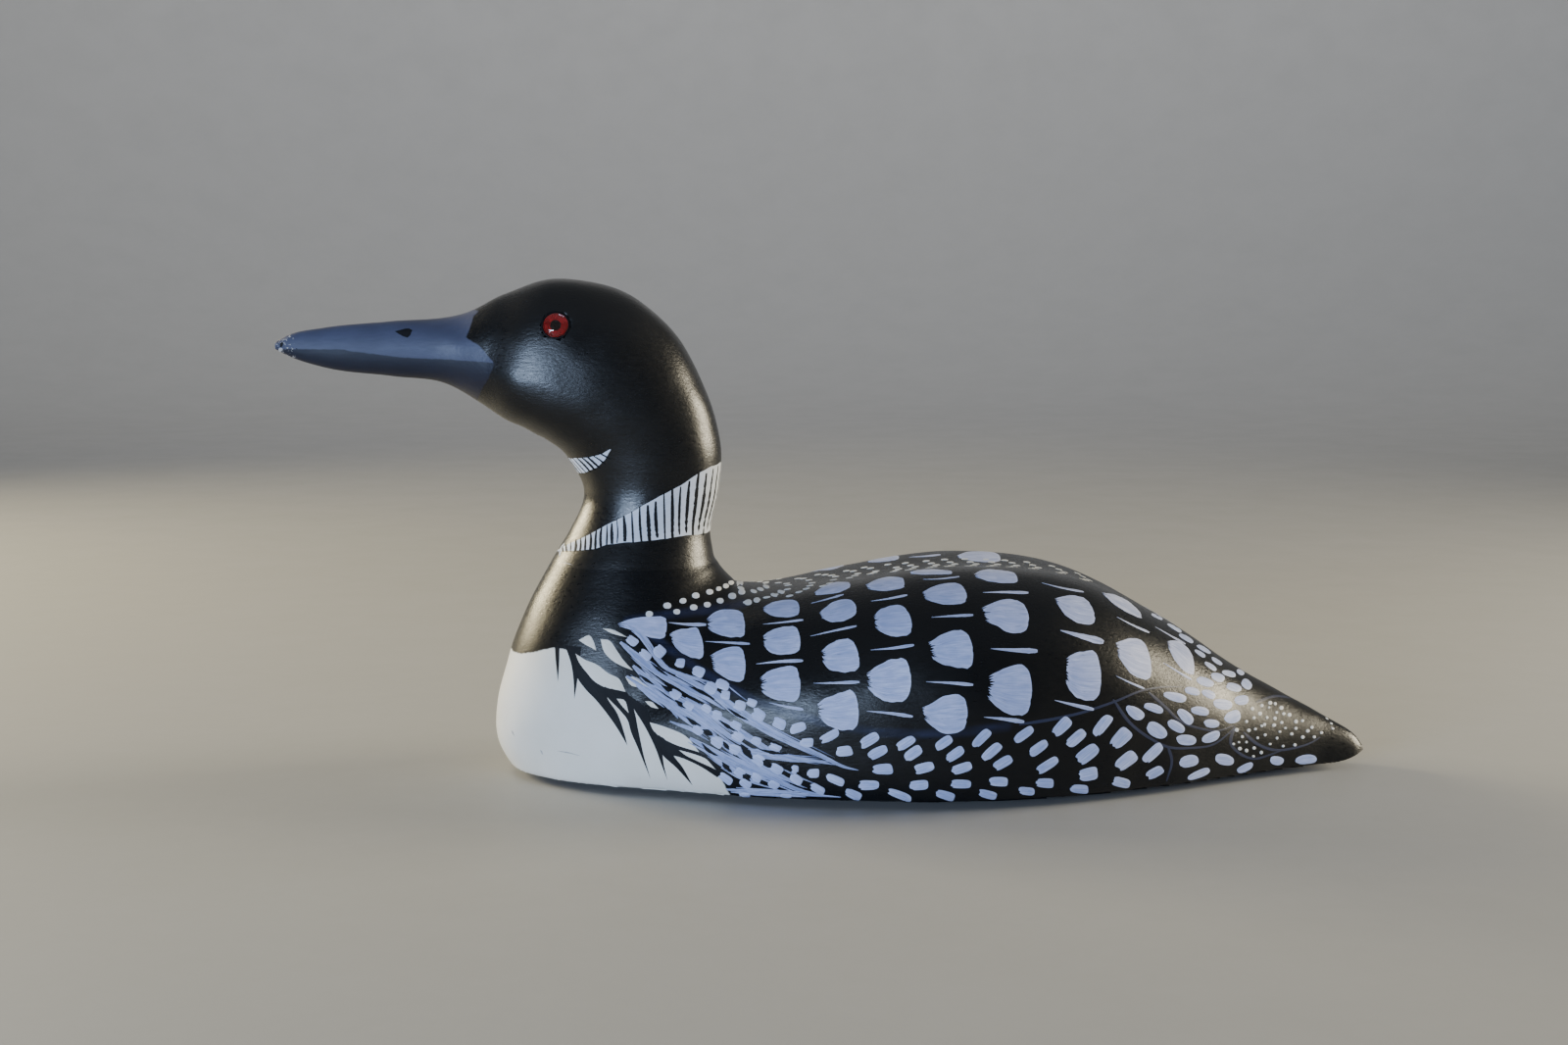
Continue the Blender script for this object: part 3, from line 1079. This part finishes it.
# Small round dots: at the foot of the neck, down the middle of the back, and on the tail
NECK_DOTS = [
    (662.5, 626.5, 7.5), (681, 617.7, 8), (696.7, 613, 7), (710, 607.3, 7.5), (724, 603.7, 7),
    (733.3, 600.5, 5.5), (740.8, 597.6, 6), (746, 594.5, 5.5), (690.4, 624, 7), (707.7, 619.7, 7.5),
    (721.5, 616.8, 7), (735, 612.7, 7), (747, 608, 8), (757, 603.8, 7), (763.5, 614.3, 7.5),
    (772.3, 612, 6.5),
]
TAIL_DOTS = [
    (1296, 717), (1301.3, 717.9), (1287.7, 719.6), (1295, 721.7), (1278, 722.9), (1307.5, 722),
    (1302.9, 726.7), (1285.8, 728), (1293, 732), (1310, 728), (1315.8, 729.2), (1279.6, 732.3),
    (1301, 732.7), (1307.9, 737), (1322.5, 736), (1329.2, 735.2), (1272, 736), (1290.4, 739),
    (1300, 739.8), (1311.7, 742.7), (1322.3, 743), (1334.4, 745.6), (1338.8, 742), (1274.4, 745),
    (1281, 743.7), (1262, 744.8), (1306, 746.3), (1318, 748.7), (1329.4, 752), (1341, 751.7),
    (1348.5, 747.5), (1267.7, 751.5), (1291, 749.6), (1283.3, 752.7), (1303, 752.9), (1258.7, 759),
    (1264.2, 757), (1272, 757), (1296, 759), (1309.4, 761), (1321.3, 759.8), (1265.2, 763.7),
    (1272, 765.6), (1279.6, 763), (1287, 767.7), (1279, 771.5),
]
RIDGE_DOTS = [(1347, 727), (1354, 733), (1358.5, 738), (1360, 743)]
RIDGE_DOT = (1.3, 1.0)
# Arrowheads of dots that point to the tail, as seen from above: the tip, then the dots of the arm
# on the photographed side and of the far arm. The last shape repeats as far as the rump.
CHEVRONS = [
    [(-14.9, -5.7), (-15.3, -12.7), (-17.6, -14.9), (-20, -17.1), (-22.9, -18.7), (-26.4, -20),
     (-30.1, -20.7), (-15.4, -1.8), (-18.4, 2)],
    [(-6.3, -7.6), (-7.2, -12.9), (-8.6, -16.8), (-11.3, -18.9), (-14.8, -20.9), (-7.1, 0.1), (-9.1, 4.9),
     (-11, 6.4)],
    [(2.7, 1.4), (1.5, -6.6), (-0.2, -14.8), (-2.7, -17.5), (1.4, 4.6), (-1, 7.1), (-3.7, 9.1)],
    [(10.9, 2.4), (9.6, -1.4), (7.4, -6.8), (9.5, 7.2), (7.1, 8.9)],
    [(17.6, 2.5), (16.8, 0.3), (15.3, -1.5), (15.9, 8.1), (13.8, 10.5)],
    [(25.8, 1), (24.6, -2.2), (23.5, -4.6), (25.2, 4.2), (22.5, 9.8)],
]
# Further back: where the tips stand along the middle line, and the dots of each arm behind a tip
CREST_TIPS = [32.2, 39.8, 46.8, 54.3, 62.0, 69.3, 77.3, 87.0, 96.0]
CREST_MIDDLE = 1.2
CREST_ARM = [(0.0, 0.0), (-1.5, 3.7), (-3.4, 7.2)]
CREST_DOT = (2.7, 2.0)
NAPE_DOTS = [(755, 594), (756, 600), (769, 603), (776, 601), (782, 598.4), (790, 607), (797, 603.6)]


def top_dot(coat, x, y, length, width):
    """A dot laid from straight above, at millimetres."""
    place, normal = from_above(x, y)
    along = (Vector((1, 0, 0)) - normal * normal.x).normalized()
    across = normal.cross(along)
    coat.blob(lambda a, b: dropped(place + along * a + across * b), dab_outline(length, width), LIFT_DOT,
              AS_SEEN[0])


dots = Coat("small_dots", DOT_PAINT)
dabs(dots, [(x, y, 0, size, size * 0.8) for x, y, size in NECK_DOTS], LIFT_DOT, power=2.2, count=16)
dabs(dots, [(x, y, -15, 7, 3.4) for x, y in NAPE_DOTS], LIFT_DOT, power=2.1, count=14)
for x, y in TAIL_DOTS:
    size = draw.uniform(2.4, 4.3)
    dabs(dots, [(x, y, 0, size, size * draw.uniform(0.85, 1.1))], LIFT_DOT, power=2.0, count=10)
for x, y in RIDGE_DOTS:
    top_dot(dots, *seen(x, y)[0].xy, *RIDGE_DOT)
for chevron in CHEVRONS:
    for x, y in chevron:
        top_dot(dots, x, y, *CREST_DOT)
for x in CREST_TIPS:
    for back, out in CREST_ARM:
        for side in SIDES if out else AS_SEEN:
            top_dot(dots, x + back + draw.uniform(-0.3, 0.3),
                    CREST_MIDDLE + side * out + draw.uniform(-0.3, 0.3), *CREST_DOT)
dots.build()

# Breast: black streaks over the white, white windows left in the black
BREAST_STREAKS = [
    ([(566, 659), (567.5, 678), (569.3, 695)], [(571, 659), (570.5, 678), (569.3, 695)]),
    ([(576.5, 658), (583, 678), (585.5, 697), (586, 713)],
     [(593, 660), (591, 678), (589, 695), (586, 713)]),
    ([(586, 676), (589, 691), (597, 702.5), (608, 714), (618.6, 727), (627.6, 739.5), (640.3, 760.5)],
     [(594, 676), (603, 690), (617, 701), (619.3, 710.8), (630, 728), (636.5, 746), (640.3, 760.5)]),
    ([(608, 694), (619.3, 710.8), (632, 724), (640, 734), (644, 747), (650.5, 762), (663.7, 794.3)],
     [(628, 696), (641, 708), (646.7, 723), (652, 748), (658, 775), (661, 785), (663.7, 794.3)]),
    ([(640, 708), (647, 723.5), (655.6, 737), (669.6, 765), (675, 780), (681, 795.6)],
     [(660, 722), (667, 742), (672, 758), (675.5, 768), (677.5, 781), (681, 795.6)]),
    ([(662, 738), (669, 755), (674.5, 768), (690, 783), (706.6, 801)],
     [(680, 752), (684, 762), (687, 770), (696, 782), (706.6, 801)]),
    ([(660, 735), (676, 752), (700, 762), (719, 771), (736, 789)],
     [(664, 748), (676, 766), (698, 774), (714, 781.5), (732, 793)]),
]
BREAST_WINDOWS = [
    ([(590.6, 653), (602, 648.3), (606, 655), (608.4, 663.6)],
     [(590.6, 653), (599, 658.5), (604, 661), (608.4, 663.6)]),
    ([(613, 652), (621, 653), (629, 663), (635, 672), (646, 684)],
     [(613, 652), (616, 664), (625.6, 674.4), (636, 680), (646, 684)]),
    ([(587.4, 666.8), (597, 673), (608.4, 677.6), (621, 687), (631, 692), (638.4, 705.7)],
     [(587.4, 666.8), (590.5, 675), (599.5, 687), (606, 694.5), (616, 700.5), (638.4, 705.7)]),
    ([(638, 690), (649, 691), (661, 701)], [(638, 690), (643, 698.5), (661, 701)]),
    ([(629.5, 712.7), (636.5, 713.3), (641.6, 727.4)], [(629.5, 712.7), (634, 720), (641.6, 727.4)]),
    ([(658.4, 715.5), (664, 715.5), (672, 723)], [(658.4, 715.5), (664, 721), (672, 723)]),
    ([(663, 736.7), (680, 742), (701, 752), (713.5, 767.3)],
     [(663, 736.7), (667.5, 746.6), (684.4, 757.4), (713.5, 767.3)]),
    ([(692.8, 765), (706, 768), (719.6, 773.5), (730.4, 785)],
     [(692.8, 765), (700, 771), (709, 775.7), (730.4, 785)]),
    ([(615, 641), (624, 642), (633, 646), (640, 650)], [(615, 641), (622, 645), (631, 648), (640, 650)]),
]
black = Coat("breast_streaks", BLACK_STROKES)
for number, (upper, lower) in enumerate(BREAST_STREAKS):
    ribbon(black, upper, lower, LIFT_BLACK + 0.004 * number)
black.build()
windows = Coat("breast_windows", WINDOW_PAINT)
for upper, lower in BREAST_WINDOWS:
    ribbon(windows, upper, lower, LIFT_WINDOW)
windows.build()

# The bundle of pale strokes that sweeps back from the shoulder: spine pixels, width and side hairs
BUNDLE = [
    ([(633, 655), (649, 669), (665, 682), (682, 694), (700, 704)], 9.5, 3),
    ([(640, 637), (654, 648), (664, 661), (673, 674), (684, 684), (700, 692)], 8.0, 2),
    ([(646, 679), (660, 692), (676, 703), (692, 716)], 9.0, 3),
    ([(639, 690), (653, 699), (668, 710), (684, 722), (692, 733)], 9.5, 2),
    ([(668, 672), (680, 681), (697, 688), (715, 693), (732, 698)], 4.0, 1),
    ([(664, 680), (684, 692), (704, 703), (722, 713), (740, 724)], 9.0, 4),
    ([(690, 688), (712, 699), (733, 712), (753, 727), (778, 742), (808, 757), (838, 771), (864, 783),
      (876, 785.7)],
     11.0,
     4),
    ([(676, 704), (696, 716), (716, 730), (732, 742), (752, 756), (770, 766)], 10.0, 4),
    ([(700, 712), (720, 724), (742, 738), (764, 752), (790, 768), (815, 774), (852, 780)], 7.0, 4),
    ([(656, 700), (676, 714), (696, 728), (716, 742), (734, 757), (748, 770)], 10.0, 4),
    ([(740, 762), (760, 768), (784, 771), (812, 775), (846, 777)], 9.0, 3),
    ([(684, 736), (704, 744), (724, 756)], 4.0, 1),
    ([(704, 753), (724, 764), (744, 775), (766, 785), (790, 795), (816, 806), (842, 812)], 10.0, 4),
    ([(716, 764), (736, 778), (756, 790), (778, 801)], 5.0, 2),
    ([(724, 748), (746, 762), (770, 778), (794, 790), (820, 803)], 9.0, 4),
    ([(736, 783), (756, 794), (778, 801), (796, 806)], 3.0, 1),
    ([(741, 805), (762.5, 807), (793, 809), (830, 811), (858, 813)], 5.5, 2),
    ([(800, 785), (816, 793), (831, 799)], 2.5, 0),
    ([(741, 698), (752, 707), (764, 716)], 2.0, 0),
]
# Dark slits where the ground shows between the strokes
SLITS = [
    ([(703, 700), (716, 706), (730, 714)], 2.5), ([(675, 699), (683, 704), (692, 707)], 3.2),
    ([(717, 744), (722, 747), (728, 750.5)], 4.0), ([(738, 756), (741, 760), (745, 765)], 4.2),
    ([(756, 759), (761, 766), (769, 775)], 5.5), ([(737, 777), (741, 782), (747, 788)], 4.5),
    ([(777, 774), (781, 778), (787, 783)], 4.5), ([(756, 788), (760, 792), (766, 797)], 4.5),
    ([(664, 676), (672, 683), (682, 690)], 2.0), ([(733, 734), (743, 741), (754, 747)], 2.6),
    ([(689, 714), (694, 718), (701, 723)], 3.2), ([(742, 722), (752, 729), (764, 735)], 2.2),
    ([(700, 731), (708, 737), (716, 741)], 3.0), ([(778, 752), (790, 758), (804, 763)], 2.2),
    ([(716, 758), (724, 766), (733, 771)], 3.0), ([(774, 764), (788, 767.5), (804, 769)], 2.6),
    ([(796, 779), (806, 784), (818, 790)], 2.8), ([(652, 688), (660, 694), (668, 699)], 2.2),
]
bundle = Coat("shoulder_strokes", STROKE_PAINT)
for number, (spine, width, side_hairs) in enumerate(BUNDLE):
    lift = LIFT_STROKE + 0.01 * number
    stroke(bundle, spine, width * 0.80, lift, ends=(0.35, 0.05), blunt=0.3)
    hairs(bundle, spine, width * 0.80, lift + 0.02, side_hairs)
bundle.build()
slits = Coat("bundle_slits", BLACK_STROKES)
for spine, width in SLITS:
    stroke(slits, spine, width * 1.6, LIFT_SLIT, ends=(0.1, 0.05), blunt=0.45, step=1.5)
slits.build()
shoulder_dabs = Coat("shoulder_dabs", SHOULDER_DAB_PAINT)
dabs(shoulder_dabs, SHOULDER_DABS, LIFT_SHOULDER_DAB, power=3.4, tip=0.6, uneven=0.11, size=0.93)
shoulder_dabs.build()

# Fine outlines of the rump and tail feathers
FEATHER_LINES = [
    [(1040, 739), (1074, 733.7), (1100, 728), (1136.7, 716), (1169, 703.5), (1185.7, 701), (1207, 700.5)],
    [(1136, 713.5), (1153.6, 738), (1173.5, 753), (1192, 762), (1215, 763), (1238, 759.4), (1253, 748.7),
     (1260.7, 741)],
    [(1172, 706), (1189, 721), (1205, 736), (1222.5, 742.6), (1245, 745), (1259, 740)],
    [(1192, 762.5), (1195.7, 774.7), (1190.3, 797)],
    [(1260, 741), (1256, 758.6), (1264, 768), (1279, 774), (1297, 769.5), (1307, 766)],
    [(1269, 747), (1283, 759), (1299.5, 765), (1321, 763), (1339, 757), (1347, 752)],
    [(1281.6, 716.5), (1302, 710), (1318, 712)],
]
lines = Coat("feather_lines", LINE_PAINT)
for spine in FEATHER_LINES:
    stroke(lines, spine, 3.2, LIFT_LINE, ends=(0.5, 0.3), blunt=0.1, across=2, step=4.0)
lines.build()


# Necklace and chin strap, as heights of their borders at angles round the neck

NECK_X = -66.0
NECK_RADIUS = 20.0
NECKLACE_TOP = [
    (0, 81.5), (4, 82.2), (35, 89.3), (51, 93.5), (69, 96.9), (89, 100.9), (110, 104.8), (125, 107.4),
    (144, 112.0), (157, 113.6), (180, 114.6),
]
NECKLACE_FOOT = [
    (0, 81.4), (4, 81.8), (36, 84.3), (47, 85.1), (54, 86.6), (70, 87.6), (105, 88.5), (131, 89.4),
    (153, 89.0), (180, 89.2),
]
CHIN_TOP = [(0, 115.8), (12.7, 116.1), (37, 117.4), (50, 118.9), (59, 120.9)]
CHIN_FOOT = [(0, 110.5), (9.8, 110.7), (23, 111.2), (42, 113.9), (52, 117.0), (59, 120.6)]
# The hook of white below the chin strap, as pixels
HOOK = [(576, 554), (572.5, 560), (570.8, 567.6)]


def on_neck(angle, height):
    """The neck's surface at an angle from straight ahead, in degrees, and a height."""
    turn = math.radians(angle)
    outward = Vector((-math.cos(turn), -math.sin(turn), 0.0))
    return SKIN.ray_cast(Vector((NECK_X, 0.0, height)) + outward * 60, -outward)[:2]


def height_at(border, angle):
    return float(np.interp(angle, *zip(*border)))


def neck_band(coat, top, foot, end, step=2.5):
    """A white band round the neck between two borders, closed at the front on the plane of symmetry."""
    rows = []
    for angle in np.linspace(0, end, int(end / step) + 1):
        high, low = height_at(top, angle), height_at(foot, angle)
        waver = 0.25 * noise.noise(Vector((angle * 0.12, 1.0, 0.0)))
        rows.append([on_neck(angle, low + waver + (high - low) * j / 8) for j in range(9)])
    for side in SIDES:
        coat.sheet(rows, LIFT_BAND, side, crown=0.2, length=3, width=60)


def neck_lines(coat, top, foot, angles, lean, more_lean, thickness):
    """Thin black lines drawn up the band, some stopping short of its edges."""
    for number, angle in enumerate(angles):
        for side in SIDES:
            high, low = height_at(top, angle), height_at(foot, angle)
            reach = high - low
            start = low + reach * draw.uniform(-0.04, 0.05)
            stop = high - reach * draw.uniform(-0.05, 0.08)
            half = math.degrees(thickness * draw.uniform(0.6, 1.4) / 2 / NECK_RADIUS)
            bow = draw.uniform(-0.8, 0.8)
            rows = []
            for i in range(9):
                t = i / 8
                middle = angle + (lean + more_lean * number) * (t - 0.5) + bow * math.sin(math.pi * t)
                width = half * (0.35 + 0.65 * math.sin(math.pi * min(1, 0.12 + t * 0.85)))
                rows.append([on_neck(middle + width * k, start + (stop - start) * t) for k in (-1, 0, 1)])
            coat.sheet(rows, LIFT_BAND_LINE, side, length=reach, width=1)


band = Coat("necklace_band", BAND_PAINT, "head_paint")
neck_band(band, NECKLACE_TOP, NECKLACE_FOOT, 180)
neck_band(band, CHIN_TOP, CHIN_FOOT, 59)
stroke(band, HOOK, 2.2, LIFT_BAND, across=2, step=1.5)
band.build()

band_lines = Coat("necklace_lines", BLACK_STROKES, "head_paint")
neck_lines(band_lines, NECKLACE_TOP, NECKLACE_FOOT, np.linspace(9, 62, 13), -7, 0.3, 0.95)
neck_lines(band_lines, NECKLACE_TOP, NECKLACE_FOOT, np.linspace(69, 174, 14), -3, 0.5, 1.3)
neck_lines(band_lines, CHIN_TOP, CHIN_FOOT, np.linspace(3, 52, 9), -9, 0, 1.05)
band_lines.build()

# Nostril, as its upper and lower edge
NOSTRIL = ([(402.9, 338), (410, 336.2), (417.4, 335), (420.7, 337)],
           [(402.9, 338), (411.2, 343), (416.6, 344.4), (420.7, 337)])
nostril = Coat("nostrils", BLACK_STROKES, "head_paint")
ribbon(nostril, *NOSTRIL, LIFT_BLACK)
nostril.build()

# Bare and blackened spots at the very tip of the bill
BARE_SPOTS = [(285.5, 357.5, 60, 5.5, 3.6)]
DARK_SPOTS = [(287, 351.5, 60, 5.0, 3.0), (288.5, 361.5, -20, 3.0, 1.8)]
bare_tip = Coat("bill_tip_bare", SCUFF_PAINT, "head_paint")
dabs(bare_tip, BARE_SPOTS, LIFT_BLACK, count=16, uneven=0.2)
bare_tip.build()
dark_tip = Coat("bill_tip_dark", BLACK_STROKES, "head_paint")
dabs(dark_tip, DARK_SPOTS, LIFT_BLACK + 0.02, count=16, uneven=0.2)
dark_tip.build()

# Scratches and scuffs in the white of the breast, and the hairline of the glue joint
SCUFFS = [
    ([(522, 745), (525, 751)], 1.4), ([(551.5, 765), (554, 770)], 1.8),
    ([(568.5, 766), (578, 767.5), (592, 771)], 1.1), ([(568.5, 571.5), (576, 574), (585, 576.5)], 0.9),
]
scuffs = Coat("breast_scuffs", SCUFF_PAINT)
for spine, width in SCUFFS:
    stroke(scuffs, spine, width, 0.02, across=1, step=2.0)
scuffs.build()


# Glass eyes

def spun(profile, segments, merge):
    """A profile of (radius, height) turned round the upright axis."""
    bm = bmesh.new()
    verts = [bm.verts.new((radius, 0, height)) for radius, height in profile]
    edges = [bm.edges.new(pair) for pair in zip(verts, verts[1:])]
    bmesh.ops.spin(bm, geom=verts + edges, cent=(0, 0, 0), axis=UP, angle=2 * math.pi, steps=segments,
                   use_merge=True)
    bmesh.ops.remove_doubles(bm, verts=bm.verts, dist=merge)
    return bm


def turned(profile, segments):
    """A closed turned form, in millimetres."""
    bm = spun(profile, segments, 0.0005)
    bmesh.ops.recalc_face_normals(bm, faces=bm.faces)
    return bm


def arc(radius, rise, steps):
    """A dome's profile, from its edge to its top."""
    ball = (radius**2 + rise**2) / (2 * rise)
    sweep = math.asin(radius / ball)
    angles = [sweep * (1 - i / steps) for i in range(steps)]
    return [(ball * math.sin(a), ball * math.cos(a) - ball + rise) for a in angles] + [(0.0, rise)]


def build_eye(name, seat):
    place, normal = seat
    stand = Matrix.Translation(place) @ UP.rotation_difference(normal).to_matrix().to_4x4()
    radius = EYE_RADIUS - 0.1
    dome = [(0.0, -0.62), (radius, -0.62), (radius + 0.05, -0.3)] + arc(radius, EYE_PROUD - 0.15, 12)
    disc = [(0.0, -1.1), (radius, -1.1), (radius, -0.72), (2.6, -0.66), (0.0, -0.64)]
    spot = [(0.0, -0.66), (1.75, -0.66), (1.75, -0.635), (0.0, -0.632)]
    rim = [(radius - 0.15, -0.9), (radius + 0.55, -0.6), (radius + 0.62, -0.02), (radius + 0.35, 0.10),
           (radius + 0.06, 0.06), (radius - 0.15, -0.3), (radius - 0.15, -0.9)]
    for part, profile, material, slot in (
            ("glass", dome, EYE_GLASS, "eye_glass"), ("iris", disc, IRIS, "eye_glass"),
            ("pupil", spot, PUPIL, "eye_glass"), ("rim", rim, SOCKET, "head_paint")):
        bm = turned(profile, 56)
        bmesh.ops.transform(bm, matrix=stand, verts=bm.verts)
        piece = add_piece(name + "_" + part, bm, material)
        if part == "glass":
            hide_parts(name)


build_eye("left_eye", eye_seats[-1])
build_eye("right_eye", eye_seats[1])


# Felt feet

PAD_FLAT = (9.3, 7.5, 5.0, 2.5)
# The pad's side from its lower to its upper edge: how far inside the radius, and the height
PAD_SIDE = [(0.55, 0.06), (0.2, 0.35), (0.08, 0.9), (0.1, 1.5), (0.22, 2.1), (0.6, PAD_TOP - 0.02)]
FIBRES = 260
FIBRE_HALF = 0.03


def add_fibre(bm):
    """A loose fibre that stands out of the pad's side."""
    angle = draw.uniform(0, 2 * math.pi)
    height = draw.uniform(0.3, 2.2)
    out = Vector((math.cos(angle), math.sin(angle), 0.0))
    side = Vector((-out.y, out.x, 0.0))
    start = out * (PAD_RADIUS - 0.35) + UP * height
    lean = side * draw.uniform(-0.9, 0.9) + UP * draw.uniform(-0.25, 0.25)
    ring = [bm.verts.new(place + off * FIBRE_HALF)
            for place in (start, start + out * 0.25 + lean * 0.5) for off in (UP, -UP, -out)]
    end = bm.verts.new(start + out * 0.34 + lean)
    for a, b in ((0, 1), (1, 2), (2, 0)):
        bm.faces.new((ring[a], ring[b], ring[b + 3], ring[a + 3]))
        bm.faces.new((ring[a + 3], ring[b + 3], end))
    bm.faces.new((ring[0], ring[2], ring[1]))


def build_pad(name, node):
    """A felt disc: soft pressed edges, a fibrous surface and loose fibres round its side."""
    low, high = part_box(node)
    centre = (low + high) / 2 / MM
    profile = [(0.0, 0.02)] + [(r, 0.02) for r in reversed(PAD_FLAT)]
    profile += [(PAD_RADIUS - inset, height) for inset, height in PAD_SIDE]
    profile += [(r, PAD_TOP - 0.02) for r in (*PAD_FLAT, 0.0)]
    bm = turned(profile, 120)
    bm.normal_update()
    for vert in bm.verts:
        fine = noise.noise(vert.co * 1.3 + Vector((centre.x, 0, 0))) * 0.16
        rough = fine + noise.noise(vert.co * 0.4) * 0.1
        outward = Vector((vert.co.x, vert.co.y, 0.0))
        if outward.length > PAD_RADIUS - 0.7:
            vert.co += outward.normalized() * (rough - 0.15)
        elif outward.length > 0.01:
            vert.co.z += abs(rough) * 0.12 * (1 if vert.co.z < 1 else -1)
    for _ in range(FIBRES):
        add_fibre(bm)
    bmesh.ops.recalc_face_normals(bm, faces=bm.faces)
    bmesh.ops.translate(bm, vec=(centre.x, centre.y, 0), verts=bm.verts)
    for vert in bm.verts:
        vert.co.z = min(max(vert.co.z, 0.0), PAD_TOP + 0.25)
    piece = add_piece(name, bm, FELT, 60)
    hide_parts(node)


build_pad("felt_foot_front", "front_pad")
build_pad("felt_foot_left", "rear_pad_left")
build_pad("felt_foot_right", "rear_pad_right")


# Floor and light

FLOOR_FLAT = 1.6
FLOOR_BEND = 0.9
WALL_TOP = 2.2


def build_floor():
    """A pale floor that curves up into a wall on every side."""
    profile = [(0.0, 0.0), (FLOOR_FLAT, 0.0)]
    profile += [(FLOOR_FLAT + FLOOR_BEND * math.sin(a), FLOOR_BEND - FLOOR_BEND * math.cos(a))
                for a in np.linspace(0, math.pi / 2, 16)[1:]]
    profile.append((FLOOR_FLAT + FLOOR_BEND, WALL_TOP))
    bm = spun(profile, 96, 0.0001)
    mesh = bpy.data.meshes.new("floor")
    bm.to_mesh(mesh)
    bm.free()
    mesh.shade_smooth()
    mesh.materials.append(FLOOR)
    floor = put("floor", mesh)


def area_light(name, place, aim, size, power, color, spread=180):
    light = bpy.data.lights.new(name, "AREA")
    light.shape = "RECTANGLE"
    light.size, light.size_y = size
    light.spread = math.radians(spread)
    light.energy = power
    light.color = color
    lamp = put(name, light)
    lamp.location = place
    lamp.visible_camera = False
    lamp.rotation_euler = (Vector(aim) - Vector(place)).to_track_quat("-Z", "Y").to_euler()


build_floor()
area_light("lamp_left", (-1.15, 0.61, 0.47), (-0.1, 0, 0.08), (0.50, 0.42), 10.8, (1.0, 0.86, 0.54), 120)
area_light("window", (-0.76, -1.23, 0.23), (-0.05, 0, 0.10), (0.68, 0.28), 21.0, (0.54, 0.71, 1.0))
area_light("lamp_right", (1.23, 0.20, 0.34), (0.0, 0, 0.09), (0.48, 0.42), 10.8, (1.0, 0.89, 0.66), 120)
area_light("wall_wash", (0.0, 1.2, 1.7), (0.1, 3.2, 0.8), (1.6, 0.5), 20.0, (1.0, 0.98, 0.96))
world = bpy.data.worlds.new("studio")
bpy.context.scene.world = world
world.use_nodes = True
world.node_tree.nodes["Background"].inputs["Color"].default_value = (0.93, 0.96, 1.0, 1.0)
world.node_tree.nodes["Background"].inputs["Strength"].default_value = 0.28
